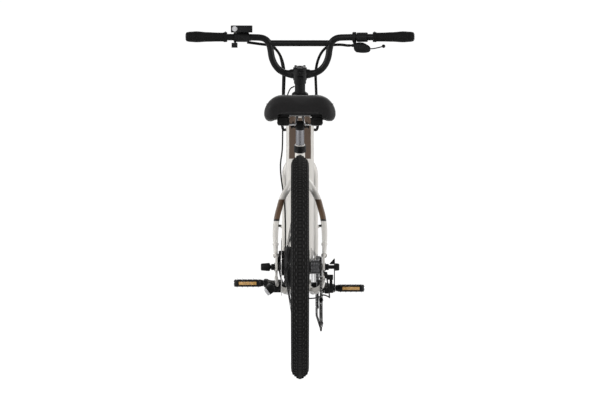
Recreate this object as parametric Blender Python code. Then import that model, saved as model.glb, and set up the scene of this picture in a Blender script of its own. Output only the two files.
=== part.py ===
# A step-through electric bike: welded frame with a wide down tube that holds the battery, rigid fork,
# spoked wheels with a motor in the rear hub, seven-speed chain drive, disc brakes and a raised U-shaped bar.
# Metres. +Y is forward, +X is the bike's right (drive) side, +Z is up, and the tyres stand on z = 0.

import math

import bmesh
import bpy
from mathutils import Matrix, Vector

# Clearance between pieces that touch, and running clearance of pieces that turn
GAP = 0.0003
RUN = 0.0005

# Wheels
WHEELBASE = 1.130
WHEEL_RADIUS = 0.350
TYRE_WIDTH = 0.057
TYRE_WALL = 0.0040
RIM_BED_RADIUS = 0.2885
RIM_WIDTH = 0.035
RIM_FLANGE = 0.0090
RIM_DEPTH = 0.0125
WHEEL_STEPS = 24
SPOKE_COUNT = 36
SPOKE_SPREAD = 0.0014
SPOKE_RADIUS = 0.0010
AXLE_RADIUS = 0.0060
FRONT_AXLE_RADIUS = 0.0050
FRONT_HUB_WIDTH = 0.100
REAR_HUB_WIDTH = 0.140
FRONT_ROTOR_RADIUS = 0.080
REAR_ROTOR_RADIUS = 0.090
ROTOR_THICKNESS = 0.0020
FRONT_ROTOR_INSET = 0.0090
REAR_ROTOR_INSET = 0.0120
CALIPER_DEPTH = 0.0080
CALIPER_HALF_HEIGHT = 0.0150
CALIPER_HALF_WIDTH = 0.0132
FRONT_CALIPER_TURN = math.radians(158.0)
REAR_CALIPER_TURN = math.radians(12.0)
MOTOR_RADIUS = 0.064
MOTOR_LEFT = -0.048
MOTOR_RIGHT = 0.030

# Frame
CHAINSTAY_LENGTH = 0.461
BB_HEIGHT = 0.282
BB_SHELL_RADIUS = 0.0215
BB_SHELL_WIDTH = 0.073
HEAD_ANGLE = math.radians(70.0)
FORK_RAKE = 0.045
HEAD_BOTTOM = 0.715
HEAD_TOP = 0.905
HEAD_RADIUS = 0.0260
STEERER_RADIUS = 0.0143
SEAT_ANGLE = math.radians(73.0)
SEAT_TUBE_RADIUS = 0.0162
SEAT_TUBE_BOTTOM = 0.350
SEAT_TUBE_TOP = 0.738
SEATPOST_RADIUS = 0.0136
DOWN_TUBE_HALF_WIDTH = 0.046
DOWN_TUBE_HALF_DEPTH = 0.045
DROPOUT_THICKNESS = 0.0074
DROPOUT_TOP = 0.0330
GUSSET_REACH = 0.0440

# Battery bay in the down tube, measured along the tube from its lower end
BAY_START = 0.085
BAY_HEAD_ROOM = 0.094064
BAY_HALF_WIDTH = 0.034
BAY_ROOF = 0.028
BAY_CLEARANCE = 0.0008

# Motor controller, measured along the down tube in the same way
CONTROLLER_START = 0.024
CONTROLLER_HALF_WIDTH = 0.028
CONTROLLER_HALF_HEIGHT = 0.022

# Drive
CHAIN_PITCH = 0.0127
CHAINRING_TEETH = 46
COG_TEETH = (28, 24, 22, 20, 18, 16, 14)
PULLEY_TEETH = 11
FIRST_COG_X = 0.0350
COG_STEP = 0.0050
COG_THICKNESS = 0.0018
CHAINRING_X = 0.0540
CRANK_LENGTH = 0.170
CRANK_TILT = math.radians(4.0)
PEDAL_INNER = 0.124
PEDAL_LENGTH = 0.086
PEDAL_DEPTH = 0.094
PEDAL_THICKNESS = 0.022
CRANK_ROOT_X = 0.0660
CRANK_TIP_X = 0.1090
CHAIN_INNER = 0.0018
CHAIN_OUTER = 0.0037
ROLLER_HALF = 0.0024
PLATE_HALF = 0.0040
CAGE_ROOM = 0.0043
CAGE_PLATE = 0.0015
CAGE_ANGLE = math.radians(13.0)
PULLEY_SPAN = 0.0760
PULLEY_BOLT_RADIUS = 0.0030
HANGER_X = 0.0770
LINK_X = 0.0970
LINK_LENGTH = 0.0420
PIN_HALF_LENGTH = 0.0100
PIN_RADIUS = 0.0058
EAR_THICKNESS = 0.0042
GUARD_X = 0.1060
GUARD_THICKNESS = 0.0030

# Kickstand
KICKSTAND_LENGTH = 0.280
KICKSTAND_CANT = math.radians(20.6)

# Cockpit
BAR_HEIGHT = 1.106
BAR_BASE_HEIGHT = 0.985
BAR_HALF_WIDTH = 0.3785
BAR_RADIUS = 0.0111
BAR_CLAMP_RADIUS = 0.0159
STEM_REACH = 0.074
GRIP_LENGTH = 0.138
CROSSBAR_HEIGHT = BAR_HEIGHT - 0.0194
BAR_SWEEP = 0.17
STEERER_TOP = BAR_BASE_HEIGHT + 0.013
STEM_BOTTOM = BAR_BASE_HEIGHT - 0.0345
STEM_TOP = BAR_BASE_HEIGHT + 0.0195
LEVER_PIVOT_REACH = 0.046
LEVER_PIN_RADIUS = 0.0022
LEFT_PIVOT_X = 0.178
RIGHT_PIVOT_X = 0.196
SHIFTER_HEIGHT = BAR_HEIGHT - 0.0385
SHIFT_LEVER_THICKNESS = 0.0040
DISPLAY_LIFT = 0.0275
BUTTON_RADIUS = 0.0090
BUTTON_TRAVEL = 0.0015
BUNDLE_RADIUS = 0.0046
HOSE_RADIUS = 0.0025

# Saddle
SADDLE_TOP = 0.888
SADDLE_HALF_WIDTH = 0.115
SADDLE_REAR = -0.415
SADDLE_LENGTH = 0.277
SADDLE_PAN_HEIGHT = 0.8340
RAIL_HEIGHT = 0.801
RAIL_RADIUS = 0.0035
RAIL_HALF_GAP = 0.0165
SPRING_X = 0.053
SEATPOST_FOOT = 0.565

# Key points and directions
REAR_AXLE = Vector((0.0, -WHEELBASE / 2, WHEEL_RADIUS))
FRONT_AXLE = Vector((0.0, WHEELBASE / 2, WHEEL_RADIUS))
BB_DROP = WHEEL_RADIUS - BB_HEIGHT
BB = Vector((0.0, REAR_AXLE.y + math.sqrt(CHAINSTAY_LENGTH ** 2 - BB_DROP ** 2), BB_HEIGHT))
STEER_UP = Vector((0.0, -math.cos(HEAD_ANGLE), math.sin(HEAD_ANGLE)))
STEER_FORWARD = Vector((0.0, math.sin(HEAD_ANGLE), math.cos(HEAD_ANGLE)))
SEAT_UP = Vector((0.0, -math.cos(SEAT_ANGLE), math.sin(SEAT_ANGLE)))
STEER_ROOT = FRONT_AXLE - STEER_FORWARD * FORK_RAKE
RIGHT = Vector((1.0, 0.0, 0.0))
FORWARD = Vector((0.0, 1.0, 0.0))
UP = Vector((0.0, 0.0, 1.0))
FRONT_ROTOR_X = -FRONT_HUB_WIDTH / 2 + FRONT_ROTOR_INSET
REAR_ROTOR_X = -REAR_HUB_WIDTH / 2 + REAR_ROTOR_INSET
SWING_PIVOT = REAR_AXLE + Vector((LINK_X, 0.0060, -0.0320))
LEVEL_PIVOT = SWING_PIVOT - UP * LINK_LENGTH
KICKSTAND_PIVOT = BB + Vector((-0.0880, -0.3535, 0.0060))
KICKSTAND_AXIS = Vector((math.cos(KICKSTAND_CANT), 0.0, -math.sin(KICKSTAND_CANT)))


def steer_point(height):
    """The point of the steering axis at a height above the ground."""
    return STEER_ROOT + STEER_UP * ((height - STEER_ROOT.z) / STEER_UP.z)


def seat_point(height):
    """The point of the seat tube's axis at a height above the ground."""
    return BB + SEAT_UP * ((height - BB.z) / SEAT_UP.z)


# Scene and materials


def clear_scene():
    for thing in list(bpy.data.objects):
        bpy.data.objects.remove(thing, do_unlink=True)


def material(name, colour, roughness, metallic=0.0):
    found = bpy.data.materials.get(name)
    if found:
        return found
    made = bpy.data.materials.new(name)
    made.use_nodes = True
    shader = made.node_tree.nodes["Principled BSDF"]
    shader.inputs["Base Color"].default_value = (*colour, 1.0)
    shader.inputs["Roughness"].default_value = roughness
    shader.inputs["Metallic"].default_value = metallic
    return made


FINISHES = {
    "cream_paint": ((0.72, 0.69, 0.62), 0.35, 0.0),
    "black_metal": ((0.02, 0.02, 0.022), 0.45, 0.3),
    "black_plastic": ((0.025, 0.025, 0.027), 0.6, 0.0),
    "rubber": ((0.02, 0.02, 0.02), 0.8, 0.0),
    "polished_alloy": ((0.75, 0.75, 0.76), 0.22, 1.0),
    "steel": ((0.55, 0.55, 0.56), 0.35, 1.0),
    "saddle_cover": ((0.03, 0.03, 0.032), 0.65, 0.0),
    "display_grey": ((0.45, 0.45, 0.46), 0.4, 0.0),
}


def finish(name):
    colour, roughness, metallic = FINISHES[name]
    return material(name, colour, roughness, metallic)


# Solids


def make_object(name, bm, finish_name="black_metal"):
    bmesh.ops.recalc_face_normals(bm, faces=bm.faces)
    mesh = bpy.data.meshes.new(name)
    bm.to_mesh(mesh)
    bm.free()
    made = bpy.data.objects.new(name, mesh)
    bpy.context.scene.collection.objects.link(made)
    mesh.materials.append(finish(finish_name))
    return made


def frame_at(origin, along, side=RIGHT):
    """A matrix whose Z runs along a direction and whose X lies close to side."""
    z = along.normalized()
    if abs(z.dot(side)) > 0.999:
        side = FORWARD
    x = (side - z * side.dot(z)).normalized()
    y = z.cross(x)
    turn = Matrix((x, y, z)).transposed().to_4x4()
    return Matrix.Translation(origin) @ turn


def turned(name, profile, steps, origin, along, finish_name, phase=0.0, ring=False):
    """A lathe solid. The profile is (radius, height); a ring's profile is a closed outline off the axis."""
    bm = bmesh.new()
    spot = [bm.verts.new((r * math.cos(phase), r * math.sin(phase), h)) for r, h in profile]
    pairs = list(zip(spot, spot[1:]))
    if ring:
        pairs.append((spot[-1], spot[0]))
    edges = [bm.edges.new(pair) for pair in pairs]
    bmesh.ops.spin(bm, geom=spot + edges, cent=(0, 0, 0), axis=(0, 0, 1), angle=math.tau,
                   steps=steps, use_merge=True, use_duplicate=False)
    bmesh.ops.remove_doubles(bm, verts=bm.verts, dist=1e-6)
    bmesh.ops.transform(bm, matrix=frame_at(origin, along), verts=bm.verts)
    return make_object(name, bm, finish_name)


def side_frame(spot):
    """The frame of a piece's side outline: forward, up, and the depth to the right."""
    return Matrix.Translation(spot) @ Matrix((FORWARD, UP, RIGHT)).transposed().to_4x4()


def prism(name, outline, depth, frame, finish_name, bevel=0.0):
    """An outline in the frame's X and Y, extruded along its Z by depth."""
    bm = bmesh.new()
    face = bm.faces.new([bm.verts.new((x, y, 0.0)) for x, y in outline])
    grown = bmesh.ops.extrude_face_region(bm, geom=[face])
    moved = [v for v in grown["geom"] if isinstance(v, bmesh.types.BMVert)]
    bmesh.ops.translate(bm, verts=moved, vec=(0, 0, depth))
    bmesh.ops.recalc_face_normals(bm, faces=bm.faces)
    if bevel:
        rims = [e for e in bm.edges if abs(e.verts[0].co.z - e.verts[1].co.z) < 1e-7]
        bmesh.ops.bevel(bm, geom=rims, offset=bevel, segments=1, affect="EDGES", clamp_overlap=True)
    bmesh.ops.transform(bm, matrix=frame, verts=bm.verts)
    return make_object(name, bm, finish_name)


def block(name, centre, size, finish_name="black_metal", bevel=0.0, turn=None):
    """A box about a centre, with bevelled edges, turned by a 3 by 3 matrix."""
    bm = bmesh.new()
    bmesh.ops.create_cube(bm, size=1.0)
    bmesh.ops.scale(bm, vec=size, verts=bm.verts)
    if bevel:
        bmesh.ops.bevel(bm, geom=bm.edges[:], offset=bevel, segments=1, affect="EDGES")
    spin = turn.to_4x4() if turn else Matrix()
    bmesh.ops.transform(bm, matrix=Matrix.Translation(centre) @ spin, verts=bm.verts)
    return make_object(name, bm, finish_name)


def rod(name, start, end, radius, sides=12, finish_name="black_metal", end_radius=None):
    """A round bar between two points, tapered where end_radius is given."""
    tip = radius if end_radius is None else end_radius
    length = (end - start).length
    profile = ((0.0, 0.0), (radius, 0.0), (tip, length), (0.0, length))
    return turned(name, profile, sides, start, end - start, finish_name)


def around(radius, sides):
    """The corner radius of a many-sided bore that clears a round piece by the usual gap."""
    return (radius + GAP) / math.cos(math.pi / sides)


def skin(name, rings, finish_name):
    """A closed skin over rings of equal count, with flat ends."""
    bm = bmesh.new()
    rows = [[bm.verts.new(p) for p in ring] for ring in rings]
    count = len(rows[0])
    for low, high in zip(rows, rows[1:]):
        for k in range(count):
            m = (k + 1) % count
            bm.faces.new((low[k], low[m], high[m], high[k]))
    bm.faces.new(rows[0])
    bm.faces.new(rows[-1])
    return make_object(name, bm, finish_name)


def directions(path):
    """The running direction at each point of a path."""
    last = len(path) - 1
    return [(path[min(k + 1, last)] - path[max(k - 1, 0)]).normalized() for k in range(last + 1)]


def tube(name, path, widths, heights, sides, finish_name, side=RIGHT):
    """A tube along a path. Each point has a half width towards side and a half height across it."""
    rings = []
    along = directions(path)
    for k, (spot, way) in enumerate(zip(path, along)):
        across = (side - way * side.dot(way)).normalized()
        over = way.cross(across)
        wide = widths[k] if isinstance(widths, (list, tuple)) else widths
        tall = heights[k] if isinstance(heights, (list, tuple)) else heights
        turns = [math.tau * (m + 0.5) / sides for m in range(sides)]
        rings.append([spot + across * wide * math.cos(t) + over * tall * math.sin(t) for t in turns])
    return skin(name, rings, finish_name)


def round_rectangle(half_width, half_height, corner, steps=3):
    """A rounded rectangle's outline about the origin, anticlockwise."""
    points = []
    for quarter, (sx, sy) in enumerate(((1, 1), (-1, 1), (-1, -1), (1, -1))):
        for k in range(steps + 1):
            turn = math.pi / 2 * (quarter + k / steps)
            points.append((sx * (half_width - corner) + corner * math.cos(turn),
                           sy * (half_height - corner) + corner * math.sin(turn)))
    return points


def combine(target, tool, operation):
    change = target.modifiers.new(operation.lower(), "BOOLEAN")
    change.operation = operation
    change.solver = "EXACT"
    change.object = tool
    view = bpy.context.evaluated_depsgraph_get()
    view.update()
    made = bpy.data.meshes.new_from_object(target.evaluated_get(view))
    clean = bmesh.new()
    clean.from_mesh(made)
    bmesh.ops.remove_doubles(clean, verts=clean.verts, dist=1e-6)
    bmesh.ops.dissolve_limit(clean, angle_limit=math.radians(0.1), verts=clean.verts, edges=clean.edges)
    clean.to_mesh(made)
    clean.free()
    target.modifiers.clear()
    old = target.data
    target.data = made
    made.name = target.name
    bpy.data.meshes.remove(old)
    bpy.data.objects.remove(tool, do_unlink=True)
    return target


def join(target, *tools):
    for tool in tools:
        combine(target, tool, "UNION")
    return target


def cut(target, *tools):
    for tool in tools:
        combine(target, tool, "DIFFERENCE")
    return target


def hang(made, pivot):
    """Gives a piece its pivot's axis as its own origin."""
    made.data.transform(pivot.matrix_world.inverted())
    made.parent = pivot
    return made


def pivot(name, spot, along=UP, parent=None):
    """An empty whose Z is a joint's axis."""
    made = bpy.data.objects.new(name, None)
    made.empty_display_size = 0.05
    bpy.context.scene.collection.objects.link(made)
    if parent:
        made.parent = parent
        made.matrix_parent_inverse = parent.matrix_world.inverted()
    made.matrix_basis = frame_at(spot, along)
    bpy.context.view_layer.update()
    return made


# Wheels


def facet(radius):
    """The corner radius of a many-sided ring whose flats lie at the given radius."""
    return radius / math.cos(math.pi / WHEEL_STEPS)


def make_tyre(name, hub):
    half = TYRE_WIDTH / 2
    bed = RIM_BED_RADIUS + GAP
    flange = RIM_BED_RADIUS + RIM_FLANGE
    seat = RIM_WIDTH / 2 - 0.0026
    tall = WHEEL_RADIUS - flange
    outer = [(bed, seat), (flange + 0.001, seat), (flange + tall * 0.26, half * 0.95),
             (flange + tall * 0.66, half * 0.93), (WHEEL_RADIUS, half * 0.30)]
    inner = [(bed, seat - TYRE_WALL), (WHEEL_RADIUS - TYRE_WALL * 3, half * 0.60)]
    profile = [(r, -x) for r, x in outer] + [(r, x) for r, x in reversed(outer)]
    profile += [(r, x) for r, x in inner] + [(r, -x) for r, x in reversed(inner)]
    profile = [(facet(r), x) for r, x in profile]
    return turned(name, profile, WHEEL_STEPS, hub, RIGHT, "rubber", phase=math.pi / WHEEL_STEPS, ring=True)


def make_rim(name, hub, flange_left, flange_right, flange_radius, crosses):
    half = RIM_WIDTH / 2
    wall = 0.0023
    inner = RIM_BED_RADIUS - RIM_DEPTH
    side = [(inner, half * 0.48), (RIM_BED_RADIUS - 0.0010, half), (RIM_BED_RADIUS + RIM_FLANGE, half),
            (RIM_BED_RADIUS, half - wall)]
    profile = side + [(r, -x) for r, x in reversed(side)]
    profile = [(facet(r), x) for r, x in profile]
    rim = turned(name, profile, WHEEL_STEPS, hub, RIGHT, "black_metal", phase=math.pi / WHEEL_STEPS, ring=True)
    spokes = make_spokes(name + "_spokes", hub, flange_left, flange_right, flange_radius, crosses, inner)
    return join(rim, spokes)


def make_spokes(name, hub, flange_left, flange_right, flange_radius, crosses, rim_inner):
    """Laced spokes: each side has leading and trailing ones, which pass each other side by side."""
    bm = bmesh.new()
    step = math.tau / SPOKE_COUNT
    for k in range(SPOKE_COUNT):
        left = k % 2 == 0
        leading = (k // 2) % 2 == 0
        sideways = SPOKE_SPREAD if leading else -SPOKE_SPREAD
        hub_x = (flange_left if left else flange_right) + sideways
        rim_x = (-0.0040 if left else 0.0040) + sideways
        rim_turn = step * (k + 0.5)
        hub_turn = rim_turn + (1 if leading else -1) * crosses * 2 * step
        start = hub + ring_spot(hub_turn, flange_radius + GAP + SPOKE_RADIUS, hub_x)
        end = hub + ring_spot(rim_turn, rim_inner + 0.0030, rim_x)
        add_bar(bm, start, end, SPOKE_RADIUS, 3)
    return make_object(name, bm, "steel")


def ring_spot(turn, radius, x):
    """A point on a wheel, from its hub: turn runs from forward to up."""
    return Vector((x, radius * math.cos(turn), radius * math.sin(turn)))


def add_bar(bm, start, end, radius, sides):
    place = frame_at(start, end - start)
    length = (end - start).length
    rings = []
    for height in (0.0, length):
        turns = [math.tau * m / sides for m in range(sides)]
        spots = [Vector((radius * math.cos(t), radius * math.sin(t), height)) for t in turns]
        rings.append([bm.verts.new(place @ spot) for spot in spots])
    for k in range(sides):
        m = (k + 1) % sides
        bm.faces.new((rings[0][k], rings[0][m], rings[1][m], rings[1][k]))
    bm.faces.new(rings[0])
    bm.faces.new(rings[1])


def make_rotor(name, hub, radius, x):
    """A brake disc: a braking band and a hub ring, with five swept arms between windows."""
    band = radius - 0.0135
    eye = 0.0176
    core = 0.0300
    low = x - ROTOR_THICKNESS / 2
    profile = ((eye, 0.0), (radius, 0.0), (radius, ROTOR_THICKNESS), (eye, ROTOR_THICKNESS))
    disc = turned(name, profile, 16, hub + RIGHT * low, RIGHT, "steel", ring=True)
    windows = bmesh.new()
    for k in range(5):
        start = math.tau * k / 5
        span = math.tau / 5 - 0.22
        sweep = 0.25
        outline = [ring_spot(start + sweep + span * m / 2, band, low - 0.002) for m in range(3)]
        outline += [ring_spot(start + span * 0.82, core, low - 0.002), ring_spot(start + 0.18, core, low - 0.002)]
        face = windows.faces.new([windows.verts.new(hub + p) for p in outline])
        grown = bmesh.ops.extrude_face_region(windows, geom=[face])
        moved = [v for v in grown["geom"] if isinstance(v, bmesh.types.BMVert)]
        bmesh.ops.translate(windows, verts=moved, vec=(ROTOR_THICKNESS + 0.004, 0, 0))
    return cut(disc, make_object(name + "_windows", windows))


def make_front_wheel(spin):
    hub_half = FRONT_HUB_WIDTH / 2 - GAP
    rotor_x = FRONT_ROTOR_X
    seat = rotor_x + ROTOR_THICKNESS / 2 + GAP
    bore = FRONT_AXLE_RADIUS + RUN
    flange = 0.0240
    left = -0.0275
    right = 0.0330
    profile = [(bore, -hub_half), (0.0110, -hub_half), (0.0172, rotor_x - 0.003), (0.0172, seat), (0.0260, seat),
               (0.0260, seat + 0.003), (0.0150, left - 0.0035), (flange, left - 0.0015), (flange, left + 0.0015),
               (0.0140, left + 0.004), (0.0140, right - 0.004), (flange, right - 0.0015), (flange, right + 0.0015),
               (0.0110, hub_half), (bore, hub_half)]
    hang(turned("front_hub", profile, 10, FRONT_AXLE, RIGHT, "black_metal", ring=True), spin)
    hang(make_rotor("front_rotor", FRONT_AXLE, FRONT_ROTOR_RADIUS, rotor_x), spin)
    hang(make_rim("front_rim", FRONT_AXLE, left, right, flange, 3), spin)
    hang(make_tyre("front_tyre", FRONT_AXLE), spin)


def make_rear_wheel(spin):
    half = REAR_HUB_WIDTH / 2 - GAP
    rotor_x = REAR_ROTOR_X
    seat = rotor_x + ROTOR_THICKNESS / 2 + GAP
    bore = AXLE_RADIUS + RUN
    flange = MOTOR_RADIUS + 0.006
    left = MOTOR_LEFT + 0.0095
    right = MOTOR_RIGHT - 0.0085
    thread = 0.0150
    profile = [(bore, -half), (0.0110, -half), (0.0172, rotor_x - 0.003), (0.0172, seat), (0.0265, seat),
               (0.0265, MOTOR_LEFT - 0.0030), (MOTOR_RADIUS - 0.009, MOTOR_LEFT), (flange, left - 0.0017),
               (flange, left + 0.0017), (MOTOR_RADIUS, left + 0.0035), (MOTOR_RADIUS, right - 0.0035),
               (flange, right - 0.0017), (flange, right + 0.0017), (MOTOR_RADIUS - 0.012, MOTOR_RIGHT),
               (thread, MOTOR_RIGHT + 0.0010), (thread, half - 0.0030), (0.0110, half), (bore, half)]
    hang(turned("hub_motor", profile, 12, REAR_AXLE, RIGHT, "black_metal", ring=True), spin)
    hang(make_rotor("rear_rotor", REAR_AXLE, REAR_ROTOR_RADIUS, rotor_x), spin)
    hang(make_rim("rear_rim", REAR_AXLE, left, right, flange, 1), spin)
    hang(make_tyre("rear_tyre", REAR_AXLE), spin)


def make_front_axle():
    """Through the hub, with a washer and a nut outside each fork end."""
    end = FRONT_HUB_WIDTH / 2 + 0.0180
    fork_end = FRONT_HUB_WIDTH / 2 + 0.0062 + GAP
    profile = [(0.0, -end), (FRONT_AXLE_RADIUS, -end), (FRONT_AXLE_RADIUS, -fork_end - 0.0080),
               (0.0085, -fork_end - 0.0075), (0.0105, -fork_end), (FRONT_AXLE_RADIUS, -fork_end)]
    profile += [(r, -x) for r, x in reversed(profile)]
    return turned("front_axle", profile, 8, FRONT_AXLE, RIGHT, "steel")


def make_rear_axle():
    """The motor's long axle, its washers and nuts, and the rubber caps over its ends."""
    dropout = REAR_HUB_WIDTH / 2 + DROPOUT_THICKNESS + GAP
    nut = dropout + 0.0022
    cap = GUARD_X + GUARD_THICKNESS + GAP
    left = [(0.0, -0.1225), (0.0110, -0.1225), (0.0130, -0.0950), (0.0060, -0.0920), (0.0060, -nut - 0.0105),
            (0.0105, -nut - 0.0100), (0.0105, -nut), (0.0135, -nut), (0.0135, -dropout), (AXLE_RADIUS, -dropout)]
    right = [(AXLE_RADIUS, dropout), (0.0135, dropout), (0.0135, nut), (0.0105, nut), (0.0105, nut + 0.0100),
             (0.0060, nut + 0.0105), (0.0060, cap), (0.0120, cap), (0.0110, 0.1230), (0.0, 0.1230)]
    return turned("rear_axle", left + right, 8, REAR_AXLE, RIGHT, "black_metal")


# Frame


def tube_axes():
    """The down tube's lower and upper ends, its running direction and its upward normal."""
    low = BB + Vector((0.0, 0.051, 0.055))
    high = steer_point(0.800) + Vector((0.0, -0.008, 0.0))
    along = (high - low).normalized()
    return low, high, along, Vector((0.0, -along.z, along.y))


def make_head_tube():
    low = steer_point(HEAD_BOTTOM)
    length = (HEAD_TOP - HEAD_BOTTOM) / STEER_UP.z
    race = around(STEERER_RADIUS, 12)
    profile = [(race, 0.0), (HEAD_RADIUS + 0.0025, 0.0), (HEAD_RADIUS + 0.0025, 0.012), (HEAD_RADIUS, 0.016),
               (HEAD_RADIUS, length - 0.014), (HEAD_RADIUS + 0.0015, length - 0.010), (HEAD_RADIUS + 0.0015, length),
               (race, length)]
    return turned("head_tube", profile, 12, low, STEER_UP, "cream_paint", ring=True)


def down_tube_section(centre, along, over, wide, tall):
    """A soft-cornered box section."""
    corner = min(wide, tall) * 0.55
    return [centre + RIGHT * x + over * y for x, y in round_rectangle(wide, tall, corner, 2)]


def bay_outline(grow, open_below):
    """The battery's side outline, (along, over) from the tube's lower end, grown by a clearance."""
    low, high, along, over = tube_axes()
    end = (high - low).length - BAY_HEAD_ROOM
    belly = -DOWN_TUBE_HALF_DEPTH - (0.05 if open_below else 0.0005)
    return [(BAY_START + 0.004 - grow, belly), (end + grow, belly), (end + grow, -0.026),
            (end - 0.008 + grow, BAY_ROOF + grow), (BAY_START + 0.018 - grow, BAY_ROOF + grow),
            (BAY_START - grow, -0.015)]


def bay_prism(name, grow, open_below, finish_name, bevel=0.0):
    low, high, along, over = tube_axes()
    half = BAY_HALF_WIDTH + grow
    frame = Matrix.Translation(low - RIGHT * half) @ Matrix((along, over, RIGHT)).transposed().to_4x4()
    return prism(name, bay_outline(grow, open_below), half * 2, frame, finish_name, bevel)


def make_down_tube():
    """A wide shell: it wraps the head tube above and is open below for the battery."""
    low, high, along, over = tube_axes()
    length = (high - low).length
    wide = DOWN_TUBE_HALF_WIDTH
    tall = DOWN_TUBE_HALF_DEPTH
    stations = ((0.0, wide * 0.76, tall * 0.90), (0.050, wide * 0.95, tall), (length * 0.5, wide, tall),
                (length - 0.060, wide, tall * 1.04), (length, wide, tall * 1.08),
                (length + 0.022, wide * 0.93, tall * 0.98), (length + 0.040, wide * 0.74, tall * 0.76))
    rings = [down_tube_section(low + along * s, along, over, w, t) for s, w, t in stations]
    shell = skin("down_tube", rings, "cream_paint")
    cut(shell, head_clearance())
    cut(shell, bay_prism("bay", BAY_CLEARANCE, True, "black_plastic"))
    box_length = BAY_START + 0.010 - CONTROLLER_START
    middle = low + along * (CONTROLLER_START + box_length / 2)
    turn = Matrix((RIGHT, along, over)).transposed()
    size = (CONTROLLER_HALF_WIDTH * 2 + GAP * 2, box_length + GAP * 2, CONTROLLER_HALF_HEIGHT * 2 + GAP * 2)
    cut(shell, block("controller_room", middle, size, turn=turn))
    return shell


def head_clearance():
    low = steer_point(HEAD_BOTTOM - 0.010)
    length = (HEAD_TOP - HEAD_BOTTOM + 0.020) / STEER_UP.z
    reach = HEAD_RADIUS + GAP
    foot = HEAD_RADIUS + 0.0025 + GAP
    profile = [(0.0, 0.0), (foot, 0.0), (foot, 0.0230), (reach, 0.0270), (reach, length), (0.0, length)]
    return turned("head_clearance", profile, 12, low, STEER_UP, "cream_paint")


def make_controller():
    """The finned motor controller, between the battery bay and the bottom bracket."""
    low, high, along, over = tube_axes()
    length = BAY_START - 0.003 - CONTROLLER_START
    turn = Matrix((RIGHT, along, over)).transposed()
    middle = low + along * (CONTROLLER_START + length / 2)
    size = (CONTROLLER_HALF_WIDTH * 2, length, CONTROLLER_HALF_HEIGHT * 2)
    case = block("motor_controller", middle, size, "black_metal", turn=turn)
    for k in range(5):
        slot = middle + RIGHT * (-0.020 + 0.010 * k) + over * CONTROLLER_HALF_HEIGHT
        cut(case, block("fin_gap", slot, (0.0050, length + 0.01, 0.012), turn=turn))
    return case


def make_battery(hinge):
    pack = bay_prism("battery_pack", 0.0, False, "black_plastic", bevel=0.003)
    return hang(pack, hinge)


def battery_hinge_spot():
    low, high, along, over = tube_axes()
    return low + along * (BAY_START + 0.010) - over * 0.030


def make_seat_tube():
    low = seat_point(SEAT_TUBE_BOTTOM)
    length = (SEAT_TUBE_TOP - SEAT_TUBE_BOTTOM) / SEAT_UP.z
    bore = SEATPOST_RADIUS + GAP
    floor = 0.090
    profile = [(0.0, 0.0), (SEAT_TUBE_RADIUS, 0.0), (SEAT_TUBE_RADIUS, length), (bore, length), (bore, floor),
               (0.0, floor)]
    return turned("seat_tube", profile, 14, low, SEAT_UP, "cream_paint")


def make_seat_collar():
    """A split clamp ring at the top of the seat tube, with its bolt behind."""
    low = seat_point(SEAT_TUBE_TOP - 0.0235)
    inner = SEAT_TUBE_RADIUS + GAP
    outer = inner + 0.0028
    height = 0.0225
    profile = ((inner, 0.0), (outer, 0.0), (outer, height), (inner, height))
    ring = turned("seat_collar", profile, 14, low, SEAT_UP, "black_metal", ring=True)
    back = frame_at(low, SEAT_UP)
    turn = back.to_3x3()
    lug = low + SEAT_UP * (height / 2) - turn.col[1] * (outer + 0.0030)
    join(ring, block("lug", lug, (0.0160, 0.0080, height * 0.8), turn=turn))
    cut(ring, block("split", lug, (0.0016, 0.0160, height * 1.2), turn=turn))
    bolt = low + SEAT_UP * (height / 2) - turn.col[1] * (outer + 0.0040)
    join(ring, rod("bolt", bolt - RIGHT * 0.0110, bolt + RIGHT * 0.0110, 0.0028, 6))
    return ring


def make_bottom_bracket():
    """The shell and the gusset that joins it to the down tube, the seat tube and the chainstays."""
    half = BB_SHELL_WIDTH / 2
    spindle = 0.0150 + RUN
    profile = ((spindle, -half), (BB_SHELL_RADIUS, -half), (BB_SHELL_RADIUS, half), (spindle, half))
    shell = turned("bottom_bracket_shell", profile, 14, BB, RIGHT, "cream_paint", ring=True)
    outline = [(-GUSSET_REACH, -0.016), (-0.014, -0.020), (0.014, -0.020), (0.060, 0.010), (0.095, 0.040),
               (0.030, 0.098), (-0.002, 0.080), (-GUSSET_REACH, 0.072)]
    width = 0.062
    frame = Matrix.Translation(BB - RIGHT * width / 2) @ Matrix((FORWARD, UP, RIGHT)).transposed().to_4x4()
    join(shell, prism("gusset", outline, width, frame, "cream_paint", bevel=0.006))
    cut(shell, rod("spindle_bore", BB - RIGHT * 0.05, BB + RIGHT * 0.05, spindle, 14))
    low, high, along, over = tube_axes()
    middle = low + along * 0.060
    turn = Matrix((RIGHT, along, over)).transposed()
    cut(shell, block("tube_room", middle, (0.120, 0.120 + GAP * 2, 0.140), turn=turn))
    foot = seat_point(SEAT_TUBE_BOTTOM) - SEAT_UP * GAP
    cut(shell, rod("seat_room", foot, foot + SEAT_UP * 0.08, SEAT_TUBE_RADIUS + GAP, 14))
    return shell


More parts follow.
